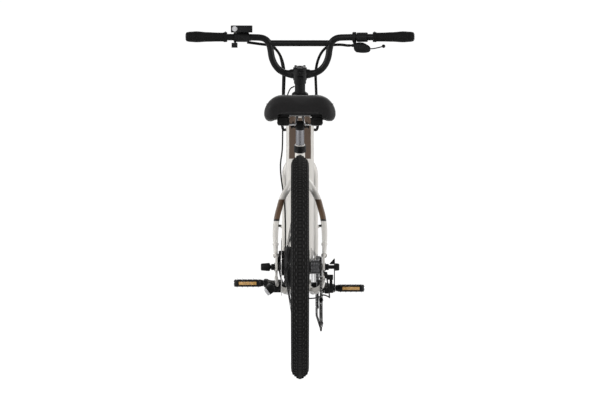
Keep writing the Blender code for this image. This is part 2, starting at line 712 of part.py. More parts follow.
def dropout_plate(side):
    """The plate that holds the axle in a slot. The right one also has the derailleur's hanger behind the slot."""
    slot = AXLE_RADIUS + 0.0008
    front = [(-0.0135, -0.0100), (-0.0150, 0.0060), (-0.0100, 0.0175), (0.0050, DROPOUT_TOP), (0.0200, DROPOUT_TOP),
             (0.0240, 0.0100), (0.0340, -0.0220), (0.0330, -0.0400), (0.0190, -0.0440)]
    open_slot = [(0.0100, -0.0250), (slot, -0.0120)]
    hanger = [(0.0105, -0.0390), (-0.0060, -0.0385), (-0.0115, -0.0300), (-0.0080, -0.0180), (slot, -0.0165)]
    top = [(slot, 0.0), (slot * 0.65, slot * 0.97), (-slot * 0.65, slot * 0.97), (-slot, 0.0), (-slot, -0.0120)]
    outline = front + (hanger if side > 0 else open_slot) + top
    start = REAR_HUB_WIDTH / 2 if side > 0 else -REAR_HUB_WIDTH / 2 - DROPOUT_THICKNESS
    return prism("dropout", outline, DROPOUT_THICKNESS, side_frame(REAR_AXLE + RIGHT * start), "cream_paint")


def chainstay_tube(name, side, grow=0.0):
    """A curved tube from the gusset round the tyre to the dropout."""
    route = [(0.0295, -0.030, -0.004), (0.0370, -0.092, -0.013), (0.0430, -0.160, -0.014), (0.0560, -0.260, -0.008),
             (0.0700, -0.350, 0.008), (0.0745, -0.430, 0.033)]
    spots = [BB + Vector((side * x, y, z)) for x, y, z in route]
    widths = [w + grow for w in (0.0065, 0.0065, 0.0065, 0.0070, 0.0065, 0.0055)]
    heights = [h + grow for h in (0.0130, 0.0120, 0.0110, 0.0100, 0.0100, 0.0090)]
    return tube(name, spots, widths, heights, 8, "cream_paint")


def make_chainstay(name, side):
    """A stay that ends flush on the gusset's rear wall, with the dropout welded to its other end."""
    stay = chainstay_tube(name, side)
    wall = 0.100 - GUSSET_REACH - GAP
    cut(stay, block("room", BB + Vector((0.0, wall, 0.02)), (0.30, 0.200, 0.30)))
    join(stay, dropout_plate(side))
    if side > 0:
        return join_derailleur_knuckle(stay)
    tab_x = REAR_ROTOR_X - CALIPER_HALF_WIDTH - 0.0005 - 0.00225
    tab = REAR_AXLE + Vector((tab_x, 0.0460, 0.0150))
    return join(stay, block("caliper_tab", tab, (0.0045, 0.0600, 0.0160)))


def make_seatstay(name, side):
    """A stay that bows out of the seat tube, clears the tyre and stands on the dropout's top edge."""
    route = [seat_point(0.622) + Vector((side * 0.012, 0.0, 0.0)),
             REAR_AXLE + Vector((side * 0.0240, 0.297, 0.266)), REAR_AXLE + Vector((side * 0.0380, 0.265, 0.247)),
             REAR_AXLE + Vector((side * 0.0550, 0.235, 0.217)), REAR_AXLE + Vector((side * 0.0650, 0.203, 0.185)),
             REAR_AXLE + Vector((side * 0.0735, 0.165, 0.150)), REAR_AXLE + Vector((side * 0.0775, 0.110, 0.100)),
             REAR_AXLE + Vector((side * 0.0770, 0.013, 0.022))]
    widths = [0.0100, 0.0105, 0.0105, 0.0100, 0.0095, 0.0092, 0.0088, 0.0074]
    heights = [0.0150, 0.0140, 0.0130, 0.0115, 0.0110, 0.0105, 0.0100, 0.0100]
    stay = tube(name, route, widths, heights, 8, "cream_paint")
    foot = seat_point(0.50)
    cut(stay, rod("seat_room", foot, foot + SEAT_UP * 0.25, SEAT_TUBE_RADIUS + GAP, 14))
    cut(stay, block("middle", Vector((-side * (0.1 - GAP), -0.25, 0.62)), (0.2, 0.2, 0.2)))
    below = REAR_AXLE + UP * (DROPOUT_TOP + GAP - 0.05)
    return cut(stay, block("dropout_room", below, (0.30, 0.20, 0.10)))


def caliper_spot(axle, turn, rotor_radius, rotor_x):
    return axle + ring_spot(turn, rotor_radius - CALIPER_DEPTH, rotor_x)


def make_caliper(name, axle, turn, rotor_radius, rotor_x):
    """A brake caliper: a cast body slotted over the disc, with round piston covers and two bolt ears."""
    spot = caliper_spot(axle, turn, rotor_radius, rotor_x)
    over = ring_spot(turn, 1.0, 0.0)
    along = over.cross(RIGHT)
    side = Matrix((RIGHT, along, over)).transposed()
    body = block(name, spot, (0.0240, 0.0440, CALIPER_HALF_HEIGHT * 2), turn=side)
    half = CALIPER_HALF_WIDTH
    join(body, rod("piston", spot - RIGHT * half, spot + RIGHT * half, 0.0110, 12))
    for end in (-1, 1):
        ear = spot + along * end * 0.0260 - over * 0.004
        join(body, block("ear", ear, (0.0180, 0.0160, 0.0110), turn=side))
    return cut(body, block("slot", spot - over * 0.008, (0.0042, 0.090, 0.0360), turn=side))


def make_derailleur_guard():
    """A bent steel plate on the axle's end that shields the derailleur."""
    frame = side_frame(REAR_AXLE + RIGHT * GUARD_X)
    outline = [(-0.0130, 0.0100), (-0.0040, 0.0265), (0.0040, 0.0265), (0.0130, 0.0100), (0.0130, -0.0200),
               (0.0200, -0.0480), (0.0160, -0.0620), (-0.0040, -0.0640), (-0.0120, -0.0480), (-0.0130, -0.0200)]
    plate = prism("derailleur_guard", outline, GUARD_THICKNESS, frame, "black_metal")
    web = [(GUARD_X + 0.0005, 0.0265), (GUARD_X + 0.0005, 0.0085), (0.0920, 0.0085), (0.0930, 0.0115)]
    side = Matrix((RIGHT, UP, -FORWARD)).transposed().to_4x4()
    back = Matrix.Translation(REAR_AXLE + FORWARD * 0.0020) @ side
    join(plate, prism("web", web, 0.0040, back, "black_metal"))
    start = REAR_AXLE + RIGHT * (GUARD_X - 0.010)
    return cut(plate, rod("axle_hole", start, start + RIGHT * 0.020, around(AXLE_RADIUS, 14), 14))


# Drive


def pitch_radius(teeth):
    """The radius on which the chain's line wraps a toothed wheel in whole pitches."""
    return CHAIN_PITCH * teeth / math.tau


def toothed_outline(teeth, phase):
    """Three points to a tooth: a root as long as a roller, and a tip."""
    pitch = pitch_radius(teeth)
    root = pitch - 0.0046
    tip = pitch + 0.0036
    half_root = 0.0031 / pitch
    points = []
    for k in range(teeth):
        turn = phase + math.tau * k / teeth
        points.append((tip * math.cos(turn), tip * math.sin(turn)))
        valley = turn + math.pi / teeth
        for way in (-1, 1):
            points.append((root * math.cos(valley + way * half_root), root * math.sin(valley + way * half_root)))
    return points


def sprocket(name, teeth, centre, x, thickness, phase, finish_name):
    frame = side_frame(Vector((x - thickness / 2, centre.y, centre.z)))
    return prism(name, toothed_outline(teeth, phase), thickness, frame, finish_name)


def tangent(a, radius_a, b, radius_b):
    """Where a straight run leaves circle a and meets circle b. A radius is negative where it runs the other way."""
    span = b - a
    distance = span.length
    base = math.atan2(span.y, span.x)
    swing = math.acos((radius_a - radius_b) / distance)
    normal = Vector((math.cos(base + swing), math.sin(base + swing)))
    return a + normal * radius_a, b + normal * radius_b


def flat(spot):
    """A point's side view: forward and up."""
    return Vector((spot.y, spot.z))


def chain_wheels(cage_angle):
    """Centre, signed radius, x and teeth of each wheel, in the order that the chain meets them."""
    return [(flat(BB), pitch_radius(CHAINRING_TEETH), CHAINRING_X),
            (flat(lower_pulley(cage_angle)), pitch_radius(PULLEY_TEETH), PULLEY_X),
            (flat(UPPER_PULLEY), -pitch_radius(PULLEY_TEETH), PULLEY_X),
            (flat(REAR_AXLE), pitch_radius(COG_TEETH[-1]), COG_X)]


def lower_pulley(cage_angle):
    """The lower pulley's place when the cage leans back from the vertical."""
    return UPPER_PULLEY - (UP * math.cos(cage_angle) + FORWARD * math.sin(cage_angle)) * PULLEY_SPAN


def chain_route(cage_angle):
    """Pieces of the loop, each with its length and a function from distance to a point."""
    wheels = chain_wheels(cage_angle)
    runs = []
    for (centre, radius, x), after in zip(wheels, wheels[1:] + wheels[:1]):
        start, end = tangent(centre, radius, after[0], after[1])
        runs.append((start, end, x, after[2]))
    pieces = []
    for k, (start, end, x0, x1) in enumerate(runs):
        length = (end - start).length

        def straight(s, a=start, b=end, m=x0, n=x1, whole=length):
            spot = a.lerp(b, s / whole)
            drift = min(max((s / whole - 0.10) / 0.80, 0.0), 1.0)
            return Vector((m + (n - m) * drift, spot.x, spot.y))
        pieces.append((length, straight))
        centre, radius, x = wheels[(k + 1) % len(wheels)]
        leave = runs[(k + 1) % len(runs)][0]
        first = math.atan2(end.y - centre.y, end.x - centre.x)
        last = math.atan2(leave.y - centre.y, leave.x - centre.x)
        way = -1 if radius > 0 else 1
        turn = (way * (last - first)) % math.tau

        def bend(s, c=centre, r=abs(radius), f=first, w=way, across=x):
            angle = f + w * s / r
            return Vector((across, c.x + r * math.cos(angle), c.y + r * math.sin(angle)))
        pieces.append((turn * abs(radius), bend))
    return pieces


def route_length(pieces):
    return sum(length for length, place in pieces)


def seat_chain():
    """Leans the cage until the loop holds a whole even number of links. Gives the angle and that number."""
    links = 2 * round(route_length(chain_route(CAGE_ANGLE)) / CHAIN_PITCH / 2)
    low = CAGE_ANGLE - math.radians(20.0)
    high = CAGE_ANGLE + math.radians(20.0)
    for _ in range(40):
        middle = (low + high) / 2
        if route_length(chain_route(middle)) < links * CHAIN_PITCH:
            low = middle
        else:
            high = middle
    return middle, links


COG_X = FIRST_COG_X + COG_STEP * (len(COG_TEETH) - 1)
PULLEY_X = COG_X + 0.0005
UPPER_PULLEY = REAR_AXLE + Vector((0.0, 0.0120, -0.1030))
CAGE_LEAN, LINK_COUNT = seat_chain()
LOWER_PULLEY = lower_pulley(CAGE_LEAN)
CHAIN_ROUTE = chain_route(CAGE_LEAN)


def chain_point(distance):
    distance = distance % route_length(CHAIN_ROUTE)
    for length, place in CHAIN_ROUTE:
        if distance <= length:
            return place(distance)
        distance -= length
    return CHAIN_ROUTE[0][1](0.0)


def gap_phase(centre, radius):
    """The angle on a wheel of the gap between rollers that lies nearest the middle of the chain's wrap."""
    spots = [flat(chain_point(CHAIN_PITCH * (k + 0.5))) - centre for k in range(LINK_COUNT)]
    near = [spot for spot in spots if abs(spot.length - radius) < 0.0001]
    middle = near[len(near) // 2]
    return math.atan2(middle.y, middle.x)


def make_chain():
    """Two rows of side plates that bulge at each roller and bridge across it: teeth stand in the gaps between."""
    bm = bmesh.new()
    links = []
    for k in range(LINK_COUNT):
        rows = {-1: [], 1: []}
        for ahead in (-ROLLER_HALF, ROLLER_HALF, 0.0):
            spot = chain_point(CHAIN_PITCH * k + ahead)
            way = (chain_point(CHAIN_PITCH * k + ahead + 0.0006) - spot).normalized()
            over = way.cross(RIGHT).normalized() * PLATE_HALF
            for side, row in rows.items():
                if ahead:
                    row.append(bm.verts.new(spot + RIGHT * side * CHAIN_INNER + over))
                    row.append(bm.verts.new(spot + RIGHT * side * CHAIN_INNER - over))
                else:
                    row.append(bm.verts.new(spot + RIGHT * side * CHAIN_OUTER))
        links.append(rows)
    for here, there in zip(links, links[1:] + links[:1]):
        for side in (-1, 1):
            top, low, far_top, far_low, back = here[side]
            next_top, next_low, next_back = there[side][0], there[side][1], there[side][4]
            for edge, far_edge, next_edge in ((top, far_top, next_top), (low, far_low, next_low)):
                bm.faces.new((edge, far_edge, back))
                bm.faces.new((far_edge, next_edge, back))
                bm.faces.new((next_edge, next_back, back))
            bm.faces.new((far_top, far_low, next_low, next_top))
        left, right = here[-1], here[1]
        for a, b in ((0, 2), (2, 3), (3, 1), (1, 0)):
            bm.faces.new((left[a], left[b], right[b], right[a]))
    return make_object("chain", bm, "black_metal")


def make_chainring(spin):
    phase = gap_phase(flat(BB), pitch_radius(CHAINRING_TEETH))
    ring = sprocket("chainring", CHAINRING_TEETH, BB, CHAINRING_X, 0.0022, phase, "black_metal")
    cut(ring, rod("ring_hole", BB + RIGHT * 0.03, BB + RIGHT * 0.08, 0.0680, 15))
    hang(ring, spin)
    return phase


def make_freewheel(spin):
    """Seven cogs on one body, screwed on the motor's right side."""
    bore = around(0.0150, 12)
    body_radius = 0.0215
    start = FIRST_COG_X - 0.0025
    end = COG_X + 0.0022
    profile = ((bore, start), (body_radius, start), (body_radius, end), (bore, end))
    body = turned("freewheel", profile, 12, REAR_AXLE, RIGHT, "steel", ring=True)
    phase = gap_phase(flat(REAR_AXLE), pitch_radius(COG_TEETH[-1]))
    for k, teeth in enumerate(COG_TEETH):
        x = FIRST_COG_X + COG_STEP * k
        if teeth == COG_TEETH[-1]:
            cog = sprocket("cog", teeth, REAR_AXLE, x, COG_THICKNESS, phase, "steel")
        else:
            cog = plain_cog(teeth, x)
        cut(cog, rod("cog_hole", REAR_AXLE + RIGHT * (x - 0.01), REAR_AXLE + RIGHT * (x + 0.01), 0.0190, 8))
        join(body, cog)
    return hang(body, spin)


def plain_cog(teeth, x):
    """A cog that the chain isn't on, with two points to a tooth."""
    pitch = pitch_radius(teeth)
    outline = []
    for k in range(teeth * 2):
        radius = pitch + 0.0030 if k % 2 == 0 else pitch - 0.0040
        turn = math.pi * k / teeth
        outline.append((radius * math.cos(turn), radius * math.sin(turn)))
    return prism("cog", outline, COG_THICKNESS, side_frame(REAR_AXLE + RIGHT * (x - COG_THICKNESS / 2)), "steel")


def crank_spot(side):
    """The pedal axle's place on its crank: the left crank points back, the right one forward."""
    reach = CRANK_LENGTH
    return BB + Vector((0.0, side * reach * math.cos(CRANK_TILT), -side * reach * math.sin(CRANK_TILT)))


def make_crank_arm(name, side):
    """A forged arm that leans outwards from the spindle to the pedal."""
    tip = crank_spot(side)
    way = (tip - BB).normalized()
    over = way.cross(RIGHT)
    places = ((0.0, CRANK_ROOT_X, 0.0095, 0.0180), (0.030, CRANK_ROOT_X + 0.004, 0.0085, 0.0150),
              (0.100, CRANK_TIP_X - 0.016, 0.0070, 0.0125), (0.150, CRANK_TIP_X - 0.003, 0.0065, 0.0130),
              (CRANK_LENGTH, CRANK_TIP_X, 0.0070, 0.0140), (CRANK_LENGTH + 0.012, CRANK_TIP_X, 0.0060, 0.0090))
    rings = []
    for reach, x, thick, wide in places:
        centre = BB + way * reach + RIGHT * side * x
        rings.append([centre + RIGHT * a + over * b for a, b in round_rectangle(thick, wide, thick * 0.6, 1)])
    arm = skin(name, rings, "black_metal")
    root = BB + RIGHT * side * CRANK_ROOT_X
    join(arm, rod("boss", root - RIGHT * side * 0.0095, root + RIGHT * side * 0.0105, 0.0205, 12))
    return arm


def make_left_crank(spin):
    """The left arm, with the spindle and its sealed bearing cartridge, which run in the bottom bracket."""
    arm = make_crank_arm("crank_arm_left", -1)
    start = BB - RIGHT * CRANK_ROOT_X
    end = BB + RIGHT * (CRANK_ROOT_X - 0.0095 - GAP)
    join(arm, rod("spindle", start, end, 0.0110, 12))
    race = BB_SHELL_WIDTH / 2 + RUN
    join(arm, rod("cartridge", BB - RIGHT * (race - 0.002), BB + RIGHT * (race - 0.002), 0.0150, 12))
    return hang(arm, spin)


def make_right_crank(spin, phase):
    """The right arm, with the five-armed spider that the chainring is bolted to."""
    arm = make_crank_arm("crank_arm_right", 1)
    face = CHAINRING_X + 0.0011 + GAP
    for k in range(5):
        turn = phase + math.tau * k / 5
        middle = BB + ring_spot(turn, 0.0440, face + 0.0025)
        way = ring_spot(turn, 1.0, 0.0)
        frame = Matrix((RIGHT, way, RIGHT.cross(way))).transposed()
        join(arm, block("spider", middle, (0.0050, 0.0640, 0.0120), turn=frame))
    return hang(arm, spin)


def make_pedal(name, side, spin):
    """A platform pedal: a frame round a boss on the axle, with reflectors let into its front and back."""
    tip = crank_spot(side)
    middle = tip + RIGHT * side * (PEDAL_INNER + PEDAL_LENGTH / 2)
    half = PEDAL_LENGTH / 2
    outline = round_rectangle(half, PEDAL_DEPTH / 2, 0.012, 2)
    frame = Matrix.Translation(middle - UP * PEDAL_THICKNESS / 2)
    body = prism(name, outline, PEDAL_THICKNESS, frame, "black_plastic")
    for way in (-1, 1):
        window = middle + FORWARD * way * 0.0255
        cut(body, block("window", window, (PEDAL_LENGTH - 0.022, 0.0230, 0.05)))
        face = middle + FORWARD * way * (PEDAL_DEPTH / 2 + 0.0004)
        join(body, block("reflector", face, (0.0560, 0.0030, 0.0100)))
    start = tip + RIGHT * side * (CRANK_TIP_X + 0.0075)
    join(body, rod("pedal_axle", start, middle, 0.0065, 10))
    return hang(body, spin)


# Derailleur


def join_derailleur_knuckle(stay):
    """The upper knuckle on the hanger: its two ears hold the link's upper pin."""
    start = REAR_AXLE + Vector((HANGER_X - 0.002, -0.0010, -0.0250))
    join(stay, rod("knuckle", start, start + RIGHT * 0.0105, 0.0100, 14))
    wide = (PIN_HALF_LENGTH + GAP + EAR_THICKNESS) * 2
    yoke = Vector(((HANGER_X + 0.0865) / 2, SWING_PIVOT.y, SWING_PIVOT.z + 0.0050))
    join(stay, block("yoke", yoke, (0.0865 - HANGER_X, wide, 0.0120)))
    return join(stay, *pin_ears(SWING_PIVOT, 0.0855, 0.0080))


def pin_ears(spot, inner_x, half_height):
    """Two plates just past the ends of a pin, reaching out from inner_x."""
    outer_x = spot.x + 0.0065
    ears = []
    for way in (-1, 1):
        y = spot.y + way * (PIN_HALF_LENGTH + GAP + EAR_THICKNESS / 2)
        centre = Vector(((inner_x + outer_x) / 2, y, spot.z))
        ears.append(block("ear", centre, (outer_x - inner_x, EAR_THICKNESS, half_height * 2)))
    return ears


def make_derailleur_link(swing):
    """The parallelogram between the two knuckles."""
    middle = (SWING_PIVOT + LEVEL_PIVOT) / 2
    length = (SWING_PIVOT - LEVEL_PIVOT).length
    body = block("derailleur_link", middle, (0.0090, PIN_HALF_LENGTH * 2, length - 0.004))
    for spot in (SWING_PIVOT, LEVEL_PIVOT):
        ends = FORWARD * PIN_HALF_LENGTH
        join(body, rod("pin", spot - ends, spot + ends, PIN_RADIUS, 12))
    return hang(body, swing)


def make_derailleur_knuckle(level):
    """The lower knuckle, which the cage turns on."""
    inner = CAGE_OUTER_X + GAP + 0.0045
    outer = LEVEL_PIVOT.x - PIN_RADIUS - 0.0010
    depth = (PIN_HALF_LENGTH + GAP + EAR_THICKNESS) * 2
    centre = Vector(((inner + outer) / 2, LEVEL_PIVOT.y, LEVEL_PIVOT.z))
    knuckle = block("derailleur_knuckle", centre, (outer - inner, depth, 0.0180), bevel=0.002)
    join(knuckle, *pin_ears(LEVEL_PIVOT, outer - 0.002, 0.0070))
    return hang(knuckle, level)


def capsule(start, end, radius, steps):
    """A slot-shaped outline round two points, (forward, up)."""
    way = math.atan2(end.y - start.y, end.x - start.x)
    points = []
    for centre, first in ((end, way - math.pi / 2), (start, way + math.pi / 2)):
        for k in range(steps + 1):
            turn = first + math.pi * k / steps
            points.append((centre.x + radius * math.cos(turn), centre.y + radius * math.sin(turn)))
    return points


CAGE_INNER_X = PULLEY_X - CAGE_ROOM
CAGE_OUTER_X = PULLEY_X + CAGE_ROOM + CAGE_PLATE
CAGE_PIVOT = Vector((CAGE_OUTER_X, LEVEL_PIVOT.y, LEVEL_PIVOT.z))


def make_cage(turn):
    """Two plates on the pulleys' bolts, with a strap and a boss on the outer one for the cage's pivot."""
    upper = flat(UPPER_PULLEY)
    lower = flat(LOWER_PULLEY)
    way = (lower - upper).normalized()
    window = capsule(lower - way * 0.0240, upper + way * 0.0240, 0.0060, 1)
    plates = []
    for x in (CAGE_INNER_X - CAGE_PLATE, CAGE_OUTER_X - CAGE_PLATE):
        frame = side_frame(RIGHT * x)
        plate = prism("derailleur_cage", capsule(lower, upper, 0.0125, 2), CAGE_PLATE, frame, "black_metal")
        cut(plate, prism("window", window, 0.010, side_frame(RIGHT * (x - 0.005)), "black_metal"))
        plates.append(plate)
    cage = join(plates[0], plates[1])
    for spot in (UPPER_PULLEY, LOWER_PULLEY):
        start = Vector((CAGE_INNER_X - CAGE_PLATE - 0.0008, spot.y, spot.z))
        end = Vector((CAGE_OUTER_X + 0.0010, spot.y, spot.z))
        join(cage, rod("pulley_bolt", start, end, PULLEY_BOLT_RADIUS, 6))
    start = CAGE_PIVOT - RIGHT * CAGE_PLATE
    join(cage, prism("strap", capsule(upper, flat(CAGE_PIVOT), 0.0080, 2), CAGE_PLATE, side_frame(RIGHT * start.x),
                     "black_metal"))
    join(cage, rod("pivot_boss", start + RIGHT * 0.0005, CAGE_PIVOT + RIGHT * 0.0045, 0.0078, 10))
    return hang(cage, turn)


def make_pulley(name, spot, spin):
    """A small toothed wheel with a wider hub, free on its bolt."""
    radius = pitch_radius(PULLEY_TEETH)
    phase = gap_phase(flat(spot), radius)
    wheel = sprocket(name, PULLEY_TEETH, spot, PULLEY_X, 0.0022, phase, "black_plastic")
    half = CAGE_ROOM - GAP
    middle = Vector((PULLEY_X, spot.y, spot.z))
    join(wheel, rod("hub", middle - RIGHT * half, middle + RIGHT * half, 0.0070, 8))
    cut(wheel, rod("bore", middle - RIGHT * 0.02, middle + RIGHT * 0.02, around(PULLEY_BOLT_RADIUS, 6), 6))
    return hang(wheel, spin)


# Kickstand


def make_kickstand_bracket():
    """A clamp round the left chainstay, with the boss that the leg turns on."""
    centre = KICKSTAND_PIVOT + Vector((0.0165, 0.0, -0.0030))
    bracket = block("kickstand_bracket", centre, (0.0220, 0.0440, 0.0330))
    start = KICKSTAND_PIVOT + KICKSTAND_AXIS * GAP
    join(bracket, rod("boss", start, start + KICKSTAND_AXIS * 0.0160, 0.0105, 10))
    return cut(bracket, chainstay_tube("stay_room", -1, GAP))


def make_kickstand_leg(turn):
    """A bent leg, folded back beside the wheel, with a rubber foot."""
    axis = KICKSTAND_AXIS
    head = rod("kickstand_leg", KICKSTAND_PIVOT - axis * 0.0130, KICKSTAND_PIVOT, 0.0110, 10)
    start = KICKSTAND_PIVOT - axis * 0.0065
    reach = KICKSTAND_LENGTH
    route = [start, start + Vector((-0.0010, -0.040, 0.0010)), start + Vector((-0.0010, -reach * 0.45, 0.0010)),
             start + Vector((0.0005, -reach * 0.80, -0.0025)), start + Vector((0.0010, 0.020 - reach, -0.0060))]
    thickness = [0.0056, 0.0070, 0.0075, 0.0075, 0.0075]
    join(head, tube("leg", route, thickness, thickness, 8, "black_metal"))
    way = (route[-1] - route[-2]).normalized()
    side = Matrix.Rotation(math.radians(-35.0), 3, "Y") @ RIGHT
    side = (side - way * side.dot(way)).normalized()
    frame = Matrix((side, way, side.cross(way))).transposed()
    join(head, block("foot", route[-1] + way * 0.008, (0.0300, 0.0460, 0.0240), "rubber", 0.004, frame))
    return hang(head, turn)


# Saddle and post


def make_seatpost(slide):
    """A polished tube with the clamp head that grips the saddle's rails."""
    low = seat_point(SEATPOST_FOOT)
    length = (RAIL_HEIGHT - 0.012 - SEATPOST_FOOT) / SEAT_UP.z
    bore = SEATPOST_RADIUS - 0.0022
    deep = length - 0.030
    profile = [(0.0, deep), (bore, deep), (bore, 0.0), (SEATPOST_RADIUS, 0.0), (SEATPOST_RADIUS, length), (0.0, length)]
    post = turned("seatpost", profile, 14, low, SEAT_UP, "polished_alloy")
    head = seat_point(RAIL_HEIGHT)
    join(post, block("head", head - UP * 0.001, (0.0250, 0.0300, 0.0260), "black_metal"))
    bolt = head - UP * 0.0075
    join(post, rod("cross_bolt", bolt - RIGHT * 0.0260, bolt + RIGHT * 0.0260, 0.0028, 8))
    for side in (-1, 1):
        inner = RAIL_HALF_GAP + RAIL_RADIUS + GAP
        join(post, rod("cheek", head + RIGHT * side * inner, head + RIGHT * side * (inner + 0.0040), 0.0105, 8))
    return hang(post, slide)


def make_saddle_base(slide):
    """The pan under the cover, its two rails, and the two stepped rubber blocks that the rails end in."""
    rear = SADDLE_REAR + 0.040
    floor = SADDLE_PAN_HEIGHT
    outline = [(-0.078, rear - 0.020), (0.078, rear - 0.020), (0.082, rear + 0.020), (0.060, rear + 0.070),
               (0.030, rear + 0.120), (0.014, rear + 0.205), (-0.014, rear + 0.205), (-0.030, rear + 0.120),
               (-0.060, rear + 0.070), (-0.082, rear + 0.020)]
    frame = Matrix.Translation(UP * (floor - 0.0050))
    base = prism("saddle_base", outline, 0.0050, frame, "black_plastic")
    for side in (-1, 1):
        foot = Vector((side * SPRING_X, rear, floor - 0.0040))
        profile = [(0.0, 0.0), (0.0190, 0.0), (0.0190, -0.0060), (0.0165, -0.0080), (0.0198, -0.0100),
                   (0.0198, -0.0280), (0.0150, -0.0340), (0.0, -0.0340)]
        join(base, turned("spring", profile, 8, foot, UP, "rubber"))
        route = [Vector((side * SPRING_X, rear + 0.004, RAIL_HEIGHT - 0.0035)),
                 Vector((side * 0.0400, rear + 0.036, RAIL_HEIGHT - 0.0020)),
                 Vector((side * (RAIL_HALF_GAP + 0.0035), rear + 0.064, RAIL_HEIGHT)),
                 Vector((side * RAIL_HALF_GAP, rear + 0.080, RAIL_HEIGHT)),
                 Vector((side * RAIL_HALF_GAP, rear + 0.135, RAIL_HEIGHT)),
                 Vector((side * 0.0120, rear + 0.172, RAIL_HEIGHT + 0.0090)),
                 Vector((side * 0.0090, rear + 0.194, floor - 0.0046))]
        join(base, tube("rail", route, RAIL_RADIUS, RAIL_RADIUS, 6, "steel"))
    return hang(base, slide)


def make_saddle_cushion(slide):
    """A wide sprung saddle's padded cover: a low crown, a broad tail with hanging lobes, and drawn-in sides."""
    top = SADDLE_TOP
    wide = SADDLE_HALF_WIDTH
    length = SADDLE_LENGTH
    low = SADDLE_PAN_HEIGHT + GAP
    stations = ((0.000, 0.62, -0.0200, 0.55), (0.022, 0.83, -0.0060, 0.85), (0.075, 0.965, -0.0010, 1.0),
                (0.160, 1.0, 0.0, 1.0), (0.260, 0.950, -0.0006, 0.95), (0.370, 0.785, -0.0026, 0.76),
                (0.500, 0.550, -0.0048, 0.50), (0.660, 0.360, -0.0063, 0.32), (0.830, 0.255, -0.0086, 0.24),
                (0.950, 0.175, -0.0140, 0.20), (1.000, 0.090, -0.0240, 0.10))
    shape = ((0.00, 0.00, 0.0), (0.36, 0.005, 0.0), (0.62, 0.004, 0.0), (0.80, 0.13, 0.0), (0.94, 0.36, 0.0),
             (1.00, 0.62, 0.0), (0.985, 0.86, 0.0), (0.91, 1.0, 1.0), (0.82, 0.98, 1.0), (0.765, 0.70, 1.0),
             (0.745, 0.0, 2.0), (0.40, 0.0, 2.0), (0.00, 0.0, 2.0))
    rings = []
    for along, share, drop, lobe in stations:
        y = SADDLE_REAR + length * along
        half = wide * share
        crown = top + drop
        skirt = low - 0.0290 * lobe
        ring = []
        for across, down, kind in shape:
            if kind == 2.0:
                z = low
            else:
                z = crown - (crown - skirt) * down
            dip = 0.0030 * math.exp(-(across / 0.18) ** 2) if kind == 0.0 else 0.0
            ring.append(Vector((half * across, y, z - dip)))
        rings.append(ring + [Vector((-p.x, p.y, p.z)) for p in reversed(ring[1:-1])])
    return hang(skin("saddle_cushion", rings, "saddle_cover"), slide)


# Fork and cockpit


def fork_route():
    """The right half of the fork's centre line, from the axle up to the crown, with a half thickness each."""
    crown = HEAD_BOTTOM - 0.0260
    foot = FRONT_AXLE
    half = FRONT_HUB_WIDTH / 2
    axis = steer_point
    return [(foot + Vector((half + 0.0032, -0.0040, 0.0240)), 0.0085), (foot + Vector((half + 0.0028, -0.035, 0.075)), 0.0095),
            (foot + Vector((half + 0.0005, -0.078, 0.150)), 0.0105),
            (foot + Vector((half - 0.0005, -0.125, 0.240)), 0.0115),
            (axis(0.640) + Vector((half - 0.0010, 0.0005, 0.0)), 0.0120),
            (axis(crown - 0.023) + Vector((half - 0.0060, -0.0003, 0.0)), 0.0130),
            (axis(crown - 0.006) + Vector((half - 0.0200, 0.0, 0.0)), 0.0150), (axis(crown), 0.0165)]


def make_fork(steer):
    """Crown and blades in one curved tube, with the steerer, ends, race seat and rack bosses welded on."""
    half = fork_route()
    spots = [p for p, r in half] + [Vector((-p.x, p.y, p.z)) for p, r in reversed(half[:-1])]
    radii = [r for p, r in half] + [r for p, r in reversed(half[:-1])]
    fork = tube("fork", spots, [r * 1.12 for r in radii], radii, 8, "cream_paint", side=STEER_FORWARD)
    crown = steer_point(HEAD_BOTTOM - 0.0240)
    join(fork, rod("steerer", crown, steer_point(STEERER_TOP), STEERER_RADIUS, 12))
    seat = steer_point(HEAD_BOTTOM) - STEER_UP * GAP
    join(fork, rod("race_seat", crown, seat, 0.0190, 12, end_radius=HEAD_RADIUS + 0.0015))
    slot = FRONT_AXLE_RADIUS + 0.0006
    outline = [(-slot, -0.0150), (-0.0130, -0.0080), (-0.0140, 0.0100), (-0.0110, 0.0340), (0.0060, 0.0340),
               (0.0130, 0.0120), (0.0130, -0.0080), (slot, -0.0150), (slot, 0.0), (slot * 0.65, slot),
               (-slot * 0.65, slot), (-slot, 0.0)]
    for side in (-1, 1):
        start = FRONT_HUB_WIDTH / 2 + 0.0002 if side > 0 else -FRONT_HUB_WIDTH / 2 - 0.0062
        join(fork, prism("fork_end", outline, 0.0060, side_frame(FRONT_AXLE + RIGHT * start), "cream_paint"))
        boss = FRONT_AXLE + Vector((side * 0.0520, -0.0615, 0.1200))
        join(fork, rod("boss", boss, boss + RIGHT * side * 0.0145, 0.0060, 8))
    tab = FRONT_AXLE + Vector((FRONT_ROTOR_X - CALIPER_HALF_WIDTH - 0.0005 - 0.00225, -0.0475, 0.0340))
    join(fork, block("caliper_tab", tab, (0.0045, 0.0600, 0.0160)))
    return hang(fork, steer)


def bar_centre():
    return Vector((0.0, steer_point(BAR_BASE_HEIGHT).y + STEM_REACH, BAR_BASE_HEIGHT))


